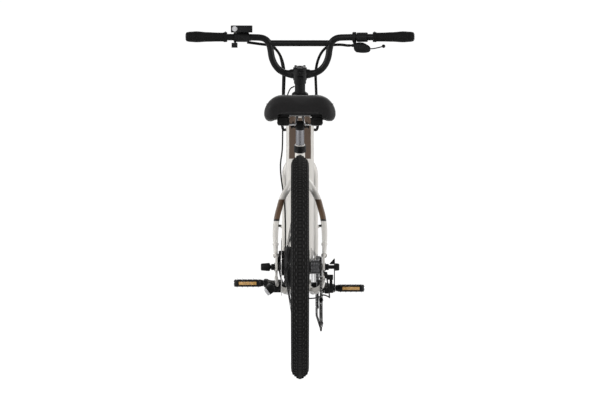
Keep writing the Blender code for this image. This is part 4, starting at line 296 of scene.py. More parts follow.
def tyreLook(name, centre):
    # dusty black on the crown, a little paler on the side walls
    made, shader, spot = newLook(name, paints["tyre"], SpecularIORLevel=0.1)
    radius = hubDistance(spot, centre)
    dust = grain(spot, 35.0, 4.0)
    base = blendColour(stepMask(dust, 0.4, 0.7), *shades(paints["tyre"], 1.0, 1.5))
    crown = stepMask(radius, bike["wheelRadius"] - 0.03, bike["wheelRadius"] - 0.018)
    feed(shader, "Base Color", blendColour(crown, paints["tyreWall"], base))
    feed(shader, "Roughness", 0.62 + dust * 0.22)
    raised(shader, grain(spot, 700.0, 2.0), 0.22, 0.0006)
    return made


def rotorLook(name, centre):
    # fine rings round the axle, as from the pads
    made, shader, spot = newLook(name, paints["rotorBand"], Metallic=1.0)
    radius = hubDistance(spot, centre)
    rings = spot.node("ShaderNodeTexNoise", {"noise_dimensions": "1D"}, {"W": radius * 1500.0, "Scale": 1.0})
    swept = stepMask(radius, 0.045, 0.088)
    feed(shader, "Base Color", blendColour(swept, paints["rotorHub"], paints["rotorBand"]))
    feed(shader, "Roughness", 0.22 + rings * 0.2)
    raised(shader, rings, 0.12, 0.0003)
    return made


def framePaint():
    # cream all over, with the brown panel of the down tube's upper side
    made, shader, spot, body = paintLook("downTubePaint", paints["cream"])
    x, z, fade = axisOf(spot, "X"), axisOf(spot, "Z"), panel["fade"]
    inside = stepMask(x.maths("ABSOLUTE", x), panel["halfWidth"] + fade, panel["halfWidth"] - fade)
    above = stepMask(z, panel["lowEdge"] - fade, panel["lowEdge"] + fade)
    feed(shader, "Base Color", blendColour(inside * above, body, paints["brown"]))
    return made


def stayPaint():
    # cream, with a brown band that ends in a thin black line
    made, shader, spot, body = paintLook("seatstayPaint", paints["cream"])
    z, fade = axisOf(spot, "Z"), panel["bandFade"]
    band = stepMask(z, panel["bandLow"], panel["bandLow"] + fade)
    below = stepMask(z, panel["bandHigh"] + fade, panel["bandHigh"])
    line = stepMask(z, panel["lineLow"], panel["lineLow"] + fade)
    lined = blendColour(line * below, body, paints["black"])
    feed(shader, "Base Color", blendColour(band * below, lined, paints["stayBrown"]))
    return made


def reflectorLook():
    made, shader, spot = newLook("amberReflector", paints["amber"], Roughness=0.2, CoatWeight=0.7)
    cells = spot.node("ShaderNodeTexVoronoi", {"feature": "DISTANCE_TO_EDGE"},
                      {"Vector": spot, "Scale": 420.0})
    edge = stepMask(cells, 0.02, 0.12)
    feed(shader, "Base Color", blendColour(edge, paints["amberEdge"], paints["amberCell"]))
    raised(shader, cells, 0.5, 0.0008)
    return made


looks = {
    "cream": paintLook("creamPaint", paints["cream"])[0],
    "downTube": framePaint(),
    "seatstay": stayPaint(),
    "black": blackCoat("blackCoat", paints["black"], 0.34),
    "cast": blackCoat("blackCasting", paints["cast"], 0.46),
    "plastic": matteLook("mouldedPlastic", paints["plastic"], 0.46, 1400.0, 0.1, 0.0003),
    "rubber": matteLook("gripRubber", paints["rubber"], 0.66, 900.0, 0.25, 0.0005),
    "hose": matteLook("hoseCover", paints["rubber"], 0.42, 1600.0, 0.08, 0.0002),
    "wrap": matteLook("bundleWrap", paints["rubber"], 0.55, 300.0, 0.55, 0.0012),
    "frontTyre": tyreLook("frontTyreRubber", frontAxle),
    "rearTyre": tyreLook("rearTyreRubber", rearAxle),
    # the tread tops' paler finish is painted light, standing for the shade in the grooves
    "treadTopLit": matteLook("paintedLitTreadTops", paints["tread"], 0.6, 700.0, 0.2, 0.0005),
    "saddle": matteLook("saddleCover", paints["saddle"], 0.5, 780.0, 0.22, 0.0004, 0.15),
    "alloy": metalLook("polishedAlloy", paints["alloy"], 0.12, (1.0, 1.0, 0.06)),
    "steel": metalLook("plainSteel", paints["steel"], 0.28, (0.1, 1.0, 1.0)),
    "spoke": metalLook("spokeSteel", paints["spoke"], 0.3, (1.0, 0.2, 0.2)),
    "chain": metalLook("chainSteel", paints["chain"], 0.36),
    "cog": metalLook("cogSteel", paints["cog"], 0.3),
    "frontRotor": rotorLook("frontRotorSteel", frontAxle),
    "rearRotor": rotorLook("rearRotorSteel", rearAxle),
    "amber": reflectorLook(),
    "pale": matteLook("palePlastic", paints["pale"], 0.4, 1200.0, 0.1, 0.0003),
    "screen": blackCoat("displayGlass", paints["glass"], 0.08),
}
print("finishes made:", len(looks))

# Modelling: a primitive is added, its points are put in place, and it is finished in edit mode


def deselectAll():
    if bpy.context.mode != "OBJECT":
        bpy.ops.object.mode_set(mode="OBJECT")
    bpy.ops.object.select_all(action="DESELECT")


def pick(*objects):
    deselectAll()
    for thing in objects:
        thing.select_set(True)
    bpy.context.view_layer.objects.active = objects[0]


def editAll():
    bpy.ops.object.mode_set(mode="EDIT")
    bpy.ops.mesh.select_all(action="SELECT")


def closeEdit(merge=1e-6):
    bpy.ops.mesh.select_all(action="SELECT")
    bpy.ops.mesh.remove_doubles(threshold=merge)
    bpy.ops.mesh.delete_loose(use_verts=True, use_edges=True, use_faces=False)
    bpy.ops.mesh.select_all(action="SELECT")
    bpy.ops.mesh.normals_make_consistent(inside=False)
    bpy.ops.object.mode_set(mode="OBJECT")


def frameAt(origin, along, side=right):  # Z runs along a direction, X lies close to side
    z = along.normalized()
    if abs(z.dot(side)) > 0.999:
        side = forward
    x = (side - z * side.dot(z)).normalized()
    return Matrix.Translation(origin) @ Matrix((x, z.cross(x), z)).transposed().to_4x4()


def sideFrame(spot):  # an outline's X is forward and its Y is up, and its depth runs to the right
    return Matrix.Translation(spot) @ Matrix((forward, up, right)).transposed().to_4x4()


def settle(piece, matrix):
    pick(piece)
    piece.matrix_world = matrix
    bpy.ops.object.transform_apply(location=True, rotation=True, scale=True)
    return piece


def lathe(profile, steps, origin, along, phase=0.0):
    # the profile is (radius, height); it is closed, or has both ends on the axis
    deselectAll()
    bpy.ops.mesh.primitive_circle_add(vertices=len(profile), radius=1.0)
    piece = bpy.context.active_object
    for vertex, (radius, height) in zip(piece.data.vertices, profile):
        vertex.co = (radius * math.cos(phase), radius * math.sin(phase), height)
    editAll()
    bpy.ops.mesh.spin(steps=steps, angle=math.tau, use_auto_merge=True, center=(0, 0, 0), axis=(0, 0, 1))
    closeEdit()
    return settle(piece, frameAt(origin, along))


def loft(rings):
    # a closed skin over rings of equal count
    deselectAll()
    across, along = len(rings[0]), len(rings) - 1
    bpy.ops.mesh.primitive_grid_add(x_subdivisions=across, y_subdivisions=along, size=2.0)
    piece = bpy.context.active_object
    for vertex in piece.data.vertices:
        column = round((vertex.co.x + 1.0) / 2.0 * across) % across
        row = round((vertex.co.y + 1.0) / 2.0 * along)
        vertex.co = rings[row][column]
    editAll()
    bpy.ops.mesh.remove_doubles(threshold=1e-6)
    bpy.ops.mesh.fill_holes(sides=0)
    closeEdit()
    return piece


def plate(outline, depth, place, soften=0.0, segments=2):
    # an outline in the place's X and Y, extruded along its Z
    deselectAll()
    bpy.ops.mesh.primitive_circle_add(vertices=len(outline), radius=1.0, fill_type="NGON")
    piece = bpy.context.active_object
    for vertex, (x, y) in zip(piece.data.vertices, outline):
        vertex.co = (x, y, 0.0)
    editAll()
    bpy.ops.mesh.extrude_region_move(TRANSFORM_OT_translate={"value": (0.0, 0.0, depth)})
    closeEdit()
    settle(piece, place)
    if soften:
        bevelled(piece, soften, segments)
    return piece


def brick(centre, size, turn=None, soften=0.0, segments=2):
    deselectAll()
    bpy.ops.mesh.primitive_cube_add(size=1.0)
    piece = bpy.context.active_object
    spin = turn.to_4x4() if turn else Matrix()
    settle(piece, Matrix.Translation(centre) @ spin @ Matrix.Diagonal((*size, 1.0)))
    if soften:
        bevelled(piece, soften, segments)
    return piece


def rod(start, end, radius, sides=24, tip=None, soften=0.0):
    length, s = (end - start).length, soften
    tip = radius if tip is None else tip
    profile = [(0.0, 0.0), (radius - s, 0.0), (radius, s), (tip, length - s), (tip - s, length),
               (0.0, length)]
    if not s:
        profile = [(0.0, 0.0), (radius, 0.0), (tip, length), (0.0, length)]
    return lathe(profile, sides, start, end - start)


def pin(spot, way, low, high, radius, sides=24, tip=None, soften=0.0):
    # a rod between two distances from a spot
    return rod(spot + way * low, spot + way * high, radius, sides, tip, soften)


def hexNut(spot, way, low, high, radius, soften=0.0008):
    return bevelled(pin(spot, way, low, high, radius, 6), soften)


def directions(path):
    last = len(path) - 1
    return [(path[min(k + 1, last)] - path[max(k - 1, 0)]).normalized() for k in range(last + 1)]


def tube(path, widths, heights, sides=16, side=right):
    # half widths and half heights, one for all or one each
    rings = []
    turns = [math.tau * (m + 0.5) / sides for m in range(sides)]
    for k, (spot, way) in enumerate(zip(path, directions(path))):
        across = (side - way * side.dot(way)).normalized()
        over = way.cross(across)
        wide, tall = (size[k] if isinstance(size, list) else size for size in (widths, heights))
        rings.append([spot + across * wide * math.cos(t) + over * tall * math.sin(t) for t in turns])
    return loft(rings)


def eased(points, steps):  # points on an even spline through the given points, steps to each span
    spots = [Vector(p) for p in points]
    ends = [spots[0] * 2 - spots[1]] + spots + [spots[-1] * 2 - spots[-2]]
    path = []
    for a, b, c, d in zip(ends, ends[1:], ends[2:], ends[3:]):
        for k in range(steps):
            t = k / steps
            path.append(0.5 * ((2 * b) + (c - a) * t + (2 * a - 5 * b + 4 * c - d) * t ** 2
                               + (3 * b - a - 3 * c + d) * t ** 3))
    path.append(spots[-1])
    return path


def easedValues(values, steps):
    return [p.x for p in eased([(value, 0.0, 0.0) for value in values], steps)]


def finishModifier(piece, kind, **settings):
    pick(piece)
    change = piece.modifiers.new(kind.lower(), kind)
    for key, value in settings.items():
        setattr(change, key, value)
    bpy.ops.object.modifier_apply(modifier=change.name)
    return piece


def bevelled(piece, width, segments=2, angle=32.0):
    return finishModifier(piece, "BEVEL", width=width, segments=segments, limit_method="ANGLE",
                          angle_limit=math.radians(angle), harden_normals=False)


def carve(piece, *tools, operation="DIFFERENCE"):
    for tool in tools:
        finishModifier(piece, "BOOLEAN", operation=operation, object=tool, solver="EXACT")
        bpy.data.objects.remove(tool, do_unlink=True)
    return piece


def together(*pieces):
    if len(pieces) > 1:
        pick(*pieces)
        bpy.ops.object.join()
    return pieces[0]


def copyAt(piece, matrix):  # each copy has its own mesh
    made = bpy.data.objects.new(piece.name, piece.data.copy())
    bpy.context.scene.collection.objects.link(made)
    return settle(made, matrix)


def softened(node, width, segments):
    # a copy of a CAD node with its faces merged and its edges rounded
    made = bpy.data.objects.new(node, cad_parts[node].data.copy())
    bpy.context.scene.collection.objects.link(made)
    pick(made)
    made.data.materials.clear()
    editAll()
    bpy.ops.mesh.remove_doubles(threshold=1e-6)
    bpy.ops.mesh.dissolve_limited(angle_limit=math.radians(0.5))
    closeEdit()
    return bevelled(made, width, segments, 30.0)


pieceNames = []


def finishPiece(piece, name, look, body, replaced=(), angle=34.0, blend=None):
    # joins a list of parts, smooths, gives the finish, puts it on its body (or bakes it in place when blend
    # is given) and hides the CAD nodes it stands for
    piece = together(*piece) if isinstance(piece, list) else piece
    pick(piece)
    piece.name = name
    piece.data.name = name
    piece.data.materials.clear()
    piece.data.materials.append(looks[look])
    bpy.ops.object.shade_smooth_by_angle(angle=math.radians(angle))
    if blend:
        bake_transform(piece)
    else:
        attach(piece, body)
    if replaced:
        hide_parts(*replaced)
    pieceNames.append(name)


# CAD nodes that only need rounded edges: node, piece, finish, body, edge width, segments
roundedNodes = (("bottom_bracket_shell", "bracket_shell", "cream", "frame", 0.0012, 2),
                ("derailleur_guard", "derailleur_guard_plate", "black", "frame", 0.0007, 2),
                ("kickstand_bracket", "kickstand_clamp", "cast", "frame", 0.0016, 3),
                ("brake_perch_left", "brake_body_left", "cast", "steering", 0.0014, 3),
                ("brake_perch_right", "brake_body_right", "cast", "steering", 0.0014, 3),
                ("display_unit", "display_housing", "plastic", "steering", 0.002, 3),
                ("throttle_paddle", "throttle_lever", "plastic", "throttle", 0.0012, 3),
                ("derailleur_link", "derailleur_parallelogram", "black", "derailleur_arm", 0.001, 2),
                ("derailleur_knuckle", "derailleur_p_knuckle", "cast", "derailleur_lower", 0.0012, 2),
                ("derailleur_cage", "derailleur_cage_plates", "black", "chain_cage", 0.0003, 2),
                ("upper_pulley", "guide_wheel", "plastic", "guide_pulley", 0.0003, 2),
                ("lower_pulley", "tension_wheel", "plastic", "tension_pulley", 0.0003, 2))
for node, name, look, body, width, segments in roundedNodes:
    finishPiece(softened(node, width, segments), name, look, body, [node])
print("rounded CAD nodes:", len(roundedNodes))


# The bar's line and the brakes' places, which the cables share with the wheels and the cockpit

cockpit = {"barRadius": 0.0111, "barHalf": 0.3785, "barHeight": 1.106, "bendX": 0.2, "setBack": 0.0455,
           "sweep": 0.17, "crossRadius": 0.0104, "gripLength": 0.138, "ribDepth": 0.0009, "sides": 24,
           "steps": 4}
brakes = {"rear": {"axle": rearAxle, "body": "frame", "turn": math.radians(12.0), "radius": 0.09,
                   "x": -0.058},
          "front": {"axle": frontAxle, "body": "steering", "turn": math.radians(158.0), "radius": 0.08,
                    "x": -0.041}}
barCentre = Vector((0.0, steerPoint(bike["barBase"]).y + bike["stemReach"], bike["barBase"]))


def barPoint(x):
    y = barCentre.y - cockpit["setBack"] - (abs(x) - cockpit["bendX"]) * cockpit["sweep"]
    return Vector((x, y, cockpit["barHeight"]))


def caliperSpot(brake):  # the middle of the calliper, and the way outwards from the axle
    over = wheelSpot(brake["turn"], 1.0)
    return brake["axle"] + wheelSpot(brake["turn"], brake["radius"] - 0.008, brake["x"]), over


# Cables: the wrapped bundles at the bar, the brake hoses and the shift cable, near the solids' routes

cables = {"bundleRadius": 0.0046, "hoseRadius": 0.0025, "shiftRadius": 0.0022, "wall": 0.0463, "steps": 3}


def makeCable(name, points, radius, body, blend=None, look="hose", inFrame=True):
    path = eased(points, cables["steps"])
    length = sum((b - a).length for a, b in zip(path, path[1:]))
    piece = tube(path, radius, radius, 10, side=forward)
    finishPiece(piece, name + "_sleeve", look, body, [name] if inFrame else (), 60.0, blend)


def hoseEnd(brake):  # the hose runs straight for its last stretch into the calliper
    spot, over = caliperSpot(brake)
    end = spot + over * 0.0153 - right * 0.007
    return [tuple(end + over * 0.01), tuple(end)]


def makeBundles():
    leftPivot = barPoint(-bike["leftLever"]) + forward * bike["leverAhead"]
    socket = Vector((0.1677, barPoint(0.1825).y, 1.0785))
    lower = [(0.1, 0.37, 1.08), (0.076, 0.379, 1.062), (0.06, 0.384, 1.03), (0.053, 0.384, 0.99),
             (0.054, 0.374, 0.94), (0.056, 0.357, 0.89), (0.059, 0.343, 0.845), (0.06, 0.333, 0.815),
             (0.056, 0.3287, 0.7965), (cables["wall"], 0.3287, 0.7965)]
    left = [(-leftPivot.x, leftPivot.y - 0.014, 1.0905), (0.135, 0.356, 1.085)] + lower
    routes = {"left": [(-x, y, z) for x, y, z in left],
              "right": [tuple(socket), tuple(socket - right * 0.01), (0.135, 0.34, 1.082)] + lower}
    for word, points in routes.items():
        makeCable("wire_bundle_" + word, points, cables["bundleRadius"], None,
                  ("steering", "frame", (0.0, 0.36, 1.0), (0.0, 0.33, 0.82)), "wrap")


def makeStemCable():  # thin, it arcs from the stem's left into the down tube
    points = [(-0.019, 0.342, 0.942), (-0.033, 0.336, 0.933), (-0.0436, 0.33, 0.906), (-0.048, 0.326, 0.87),
              (-0.0495, 0.3245, 0.838), (-0.0455, 0.324, 0.814)]
    makeCable("stem_side_cable", points, cables["shiftRadius"], None,
              ("steering", "frame", (0.0, 0.34, 0.93), (0.0, 0.32, 0.85)), "hose", False)


def makeHoses():
    leftPivot = barPoint(-bike["leftLever"]) + forward * bike["leverAhead"]
    start = leftPivot + Vector((0.0283, -0.014, 0.0))
    points = [tuple(start), tuple(start + right * 0.008), (-0.128, 0.36, 1.102), (-0.1, 0.384, 1.09),
              (-0.074, 0.398, 1.06), (-0.059, 0.4, 1.0), (-0.059, 0.396, 0.93),
              (-0.059, 0.393, 0.86), (-0.0585, 0.39, 0.8), (-0.06, 0.408, 0.73),
              (-0.066, 0.4, 0.68), (-0.063, 0.394, 0.63), (-0.054, 0.408, 0.57),
              (-0.05, 0.438, 0.5), (-0.0485, 0.464, 0.42)]
    makeCable("front_brake_hose", points + hoseEnd(brakes["front"]), cables["hoseRadius"], "steering")
    wall = bracket.y - 0.0443
    points = [(-0.024, wall, 0.301), (-0.025, wall - 0.01, 0.301), (-0.039, -0.21, 0.295),
              (-0.044, -0.27, 0.2905), (-0.056, -0.365, 0.299), (-0.064, -0.415, 0.33),
              (-0.0655, -0.44, 0.36)]
    makeCable("rear_brake_hose", points + hoseEnd(brakes["rear"]), cables["hoseRadius"], "frame")
    end = rearAxle + Vector((0.081, -0.0113, -0.025))
    points = [(0.023, wall, 0.272), (0.023, wall - 0.008, 0.2715), (0.023, wall - 0.022, 0.256),
              (0.026, wall - 0.04, 0.244), (0.04, -0.24, 0.244), (0.056, -0.36, 0.25),
              (0.074, -0.455, 0.26), (0.09, -0.53, 0.256), (0.092, -0.586, 0.256),
              (0.09, -0.614, 0.276), (0.085, -0.61, 0.308), tuple(end - forward * 0.012), tuple(end)]
    makeCable("shift_cable", points, cables["shiftRadius"], "frame")


makeBundles()
makeHoses()
makeStemCable()
print("cables made")

# Wheels

wheels = {"tyreHalf": 0.0285, "bed": 0.2885, "rimHalf": 0.0175, "flange": 0.009, "rimDepth": 0.0125,
          "treadRows": 204, "treadLift": 0.0017, "treadInset": 0.0016, "spokes": 36, "spokeRadius": 0.001,
          "lacing": {"rear": (-0.0385, 0.0215, 0.07, 1), "front": (-0.0275, 0.033, 0.024, 3)}}


def makeTyre(word, hub):
    half, bed = wheels["tyreHalf"], wheels["bed"] + 0.0003
    flange = wheels["bed"] + wheels["flange"]
    top = bike["wheelRadius"] - wheels["treadLift"]
    seat = wheels["rimHalf"] - 0.0026
    outer = [(bed, seat), (flange + 0.001, seat), (flange + 0.0022, seat + 0.0045),
             (flange + 0.009, half * 0.9), (flange + 0.0185, half * 0.985), (flange + 0.0275, half * 0.955),
             (flange + 0.0345, half * 0.84), (flange + 0.0405, half * 0.66), (flange + 0.0452, half * 0.44),
             (top, half * 0.22)]
    inner = [(bed, seat - 0.004), (flange + 0.01, half * 0.8), (flange + 0.028, half * 0.8),
             (top - 0.012, half * 0.3)]
    profile = [(r, -x) for r, x in outer] + [(r, x) for r, x in reversed(outer)]
    profile += [(r, x) for r, x in inner] + [(r, -x) for r, x in reversed(inner)]
    piece = lathe(profile, wheels["treadRows"], hub, right)
    # tread blocks: the crown's faces in a staggered pattern, inset and pushed out
    pick(piece)
    bpy.ops.object.mode_set(mode="EDIT")
    bpy.ops.mesh.select_mode(type="FACE")
    bpy.ops.mesh.select_all(action="DESELECT")
    bpy.ops.object.mode_set(mode="OBJECT")
    step = math.tau / wheels["treadRows"]
    for face in piece.data.polygons:
        spot = face.center - hub
        radius = math.hypot(spot.y, spot.z)
        row = int((math.atan2(spot.z, spot.y) % math.tau) / step)
        if radius < flange + 0.035 or face.normal.dot(Vector((0.0, spot.y, spot.z)).normalized()) < 0.2:
            continue
        lane = sum(abs(spot.x) >= half * share for share in (0.2, 0.4, 0.6))
        face.select = (row + lane) % 2 == 0 or lane in (0, 3)
    bpy.ops.object.mode_set(mode="EDIT")
    bpy.ops.mesh.inset(use_individual=True, thickness=wheels["treadInset"])
    bpy.ops.mesh.extrude_faces_move(TRANSFORM_OT_shrink_fatten={"value": wheels["treadLift"]})
    bpy.ops.object.mode_set(mode="OBJECT")
    # the blocks' tops are painted a little paler than their grooves: painted light on the tops and painted
    # shade in the grooves, where the flat light casts none
    tops = [face.select for face in piece.data.polygons]
    finishPiece(piece, word + "_tyre_tread", word + "Tyre", word + "_wheel", [word + "_tyre"], 28.0)
    piece.data.materials.append(looks["treadTopLit"])
    for face, top in zip(piece.data.polygons, tops):
        face.material_index = 1 if top else 0


def makeRim(word, hub, left, rightFlange, flangeRadius, crosses):
    half, bed, lip = wheels["rimHalf"], wheels["bed"], wheels["bed"] + wheels["flange"]
    inner = bed - wheels["rimDepth"]
    side = [(inner, half * 0.3), (inner + 0.0015, half * 0.55), (bed - 0.004, half * 0.93),
            (bed - 0.001, half), (lip - 0.0006, half), (lip, half - 0.0008), (lip - 0.0004, half - 0.002),
            (bed + 0.001, half - 0.0023), (bed, half - 0.0023)]
    profile = side + [(r, -x) for r, x in reversed(side)]
    finishPiece(lathe(profile, 120, hub, right), word + "_rim_hoop", "black", word + "_wheel",
                [word + "_rim"], 30.0)
    # one spoke a metre long, copied to each place and stretched to its reach, and a nipple at its end
    spoke = rod(Vector(), up, wheels["spokeRadius"], 6)
    laced = []
    step = math.tau / wheels["spokes"]
    for k in range(wheels["spokes"]):
        near, leading = k % 2 == 0, (k // 2) % 2 == 0
        sideways = 0.0014 if leading else -0.0014
        rimTurn = step * (k + 0.5)
        hubTurn = rimTurn + (1 if leading else -1) * crosses * 2 * step
        start = hub + wheelSpot(hubTurn, flangeRadius + 0.0013, (left if near else rightFlange) + sideways)
        end = hub + wheelSpot(rimTurn, inner + 0.003, (-0.004 if near else 0.004) + sideways)
        stretch = Matrix.Diagonal((1.0, 1.0, (end - start).length, 1.0))
        laced.append(copyAt(spoke, frameAt(start, end - start) @ stretch))
        laced.append(rod(end - (end - start).normalized() * 0.013, end, 0.0019, 6, 0.0023))
    bpy.data.objects.remove(spoke, do_unlink=True)
    finishPiece(laced, word + "_rim_spokes", "spoke", word + "_wheel", (), 40.0)


def makeRotor(word, brake):
    hub, radius = brake["axle"], brake["radius"]
    band, eye, core, thick = radius - 0.0135, 0.0176, 0.029, 0.002
    low = brake["x"] - thick / 2
    disc = lathe([(eye, 0.0), (radius, 0.0), (radius, thick), (eye, thick)], 72, hub + right * low, right)
    tools = []
    for k in range(6):  # windows between the swept arms
        start, span, sweep = math.tau * k / 6, math.tau / 6 - 0.16, 0.3
        outline = [wheelSpot(start + sweep + span * m / 6, band) for m in range(7)]
        outline += [wheelSpot(start + span * 0.92 - span * 0.9 * m / 4, core) for m in range(5)]
        tools.append(plate([(p.y, p.z) for p in outline], thick + 0.004,
                           sideFrame(hub + right * (low - 0.002))))
    for k in range(30):  # small holes in the brake band
        spot = hub + wheelSpot(math.tau * k / 30, radius - 0.004 - 0.0028 * (k % 3))
        tools.append(pin(spot, right, low - 0.002, low + thick + 0.002, 0.0014, 8))
    carve(disc, together(*tools))
    spots = [hub + wheelSpot(math.tau * (k + 0.5) / 6, 0.0225) for k in range(6)]
    heads = [pin(spot, right, low - 0.0018, low + 0.0006, 0.003, 12) for spot in spots]
    finishPiece([disc, *heads], word + "_rotor_disc", word + "Rotor", word + "_wheel", [word + "_rotor"],
                30.0)


def makeWheels():
    for word, hub in (("rear", rearAxle), ("front", frontAxle)):
        makeTyre(word, hub)
        makeRim(word, hub, *wheels["lacing"][word])
        makeRotor(word, brakes[word])
    profile = [(0.0065, -0.0697), (0.011, -0.0697), (0.0172, -0.061), (0.0172, -0.0567), (0.0265, -0.0567),
               (0.0265, -0.051), (0.03, -0.0495), (0.052, -0.048), (0.058, -0.047), (0.064, -0.042),
               (0.07, -0.0402), (0.07, -0.0368), (0.064, -0.035), (0.064, 0.018), (0.07, 0.0198),
               (0.07, 0.0232), (0.063, 0.025), (0.052, 0.03), (0.02, 0.0305), (0.015, 0.031), (0.015, 0.0667),
               (0.011, 0.0697), (0.0065, 0.0697)]
    motor = lathe(profile, 72, rearAxle, right)
    spots = [rearAxle + wheelSpot(math.tau * k / 8, 0.045) for k in range(8)]
    screws = [pin(spot, right, -0.0505, -0.047, 0.0028, 10) for spot in spots]
    finishPiece([motor, *screws], "hub_motor_shell", "cast", "rear_wheel", ["hub_motor"], 30.0)
    profile = [(0.0055, -0.0497), (0.011, -0.0497), (0.0172, -0.044), (0.0172, -0.0397), (0.026, -0.0397),
               (0.026, -0.0367), (0.015, -0.031), (0.024, -0.029), (0.024, -0.026), (0.015, -0.024),
               (0.0135, -0.015), (0.0135, 0.022), (0.015, 0.0295), (0.024, 0.0315), (0.024, 0.0345),
               (0.013, 0.037), (0.011, 0.0497), (0.0055, 0.0497)]
    finishPiece(lathe(profile, 48, frontAxle, right), "front_hub_shell", "cast", "front_wheel",
                ["front_hub"], 30.0)
    print("wheels made")


makeWheels()

# Frame

tubing = {"downWide": 0.046, "downTall": 0.045, "bayStart": 0.085, "bayHeadRoom": 0.094064, "bayHalf": 0.034,
          "bayRoof": 0.028, "steps": 4, "sides": 20, "bossHeight": 0.478, "axleSlot": 0.0068}
tubeLow = bracket + Vector((0.0, 0.051, 0.055))
tubeHigh = steerPoint(0.8) - forward * 0.008
tubeAlong = (tubeHigh - tubeLow).normalized()
tubeOver = Vector((0.0, -tubeAlong.z, tubeAlong.y))


def softBox(halfWide, halfTall, corner, steps=6):  # an outline of a box with round corners
    outline = []
    for sx, sy, first in ((1, 1, 0), (-1, 1, 1), (-1, -1, 2), (1, -1, 3)):
        for k in range(steps + 1):
            t = math.pi / 2 * (first + k / steps)
            outline.append((sx * (halfWide - corner) + corner * math.cos(t),
                            sy * (halfTall - corner) + corner * math.sin(t)))
    return outline


def bayTool(grow, openBelow):
    end = (tubeHigh - tubeLow).length - tubing["bayHeadRoom"]
    start = tubing["bayStart"]
    belly = -tubing["downTall"] - (0.05 if openBelow else 0.0005)
    outline = [(start + 0.004 - grow, belly), (end + grow, belly), (end + grow, -0.026),
               (end - 0.008 + grow, tubing["bayRoof"] + grow),
               (start + 0.018 - grow, tubing["bayRoof"] + grow),
               (start - grow, -0.015)]
    half = tubing["bayHalf"] + grow
    turn = Matrix((tubeAlong, tubeOver, right)).transposed().to_4x4()
    return plate(outline, half * 2, Matrix.Translation(tubeLow - right * half) @ turn)


def makeDownTube():
    length = (tubeHigh - tubeLow).length
    wide, tall = tubing["downWide"], tubing["downTall"]
    places = [0.0, 0.05, length * 0.5, length - 0.06, length, length + 0.022, length + 0.04]
    wides = [wide * k for k in (0.76, 0.95, 1.0, 1.0, 1.0, 0.93, 0.74)]
    talls = [tall * k for k in (0.9, 1.0, 1.0, 1.04, 1.08, 0.98, 0.76)]
    steps = tubing["steps"]
    rings = []
    for s, w, t in zip(easedValues(places, steps), easedValues(wides, steps), easedValues(talls, steps)):
        centre = tubeLow + tubeAlong * s
        rings.append([centre + right * x + tubeOver * y for x, y in softBox(w, t, min(w, t) * 0.55)])
    shell = loft(rings)
    low = steerPoint(0.705)
    reach = 0.21 / steerUp.z
    head = lathe([(0.0, 0.0), (0.0288, 0.0), (0.0288, 0.023), (0.0263, 0.027), (0.0263, reach), (0.0, reach)],
                 48, low, steerUp)
    carve(shell, head, bayTool(0.0008, True))
    finishPiece(shell, "down_tube_shell", "downTube", "frame", ["down_tube"], 36.0)
    finishPiece(bevelled(bayTool(0.0, False), 0.0035, 3), "battery_case", "plastic", "battery",
                ["battery_pack"])
    # the lock's barrel in the left wall, with its key slot
    lock = tubeLow + tubeAlong * (length - 0.15) - right * (wide + 0.0006) + tubeOver * 0.004
    barrel = carve(pin(lock, right, 0.0, 0.006, 0.0078, 32, None, 0.0006),
                   brick(lock, (0.002, 0.0018, 0.008)))
    finishPiece(barrel, "battery_lock", "steel", "frame")


def makeHeadTube():
    low = steerPoint(bike["headLow"])
    length = 0.19 / steerUp.z
    profile = [(0.015, 0.0), (0.0278, 0.0), (0.0285, 0.0008), (0.0285, 0.0112), (0.028, 0.0125),
               (0.026, 0.016), (0.026, length - 0.014), (0.0272, length - 0.0108), (0.0275, length - 0.0098),
               (0.0275, length - 0.0008), (0.0268, length), (0.015, length)]
    finishPiece(lathe(profile, 64, low, steerUp), "head_tube_shell", "cream", "frame", ["head_tube"])


def makeSeatTube():
    low = seatPoint(bike["seatLow"])
    length = 0.388 / seatUp.z
    profile = [(0.0, 0.0), (0.0162, 0.0), (0.0162, length - 0.0005), (0.0157, length), (0.014, length),
               (0.014, 0.09), (0.0, 0.09)]
    finishPiece(lathe(profile, 48, low, seatUp), "seat_tube_shell", "cream", "frame", ["seat_tube"])
    low = seatPoint(bike["collarLow"])
    ring = lathe([(0.0165, 0.0), (0.019, 0.0), (0.0197, 0.0008), (0.0193, 0.0022), (0.0193, 0.02),
                  (0.0197, 0.0214), (0.019, 0.0222), (0.0165, 0.0222)], 48, low, seatUp)
    turn = frameAt(low, seatUp).to_3x3()
    middle = low + seatUp * 0.0112
    lug = middle - turn.col[1] * 0.0223
    ears = brick(lug, (0.017, 0.0088, 0.0182), turn, 0.0018, 3)
    carve(ears, brick(lug, (0.0016, 0.017, 0.027), turn))
    bolt = middle - turn.col[1] * 0.0233
    head = pin(bolt, right, 0.008, 0.0118, 0.0042, 32, None, 0.0006)
    carve(head, pin(bolt, right, 0.01, 0.013, 0.0022, 6))
    shank = pin(bolt, right, -0.0112, 0.009, 0.0026, 20, None, 0.0004)
    finishPiece([ring, ears, head, shank], "seat_clamp", "black", "frame", ["seat_collar"])


def makeStay(points, wides, talls):
    steps = tubing["steps"]
    return tube(eased(points, steps), easedValues(wides, steps), easedValues(talls, steps), tubing["sides"])


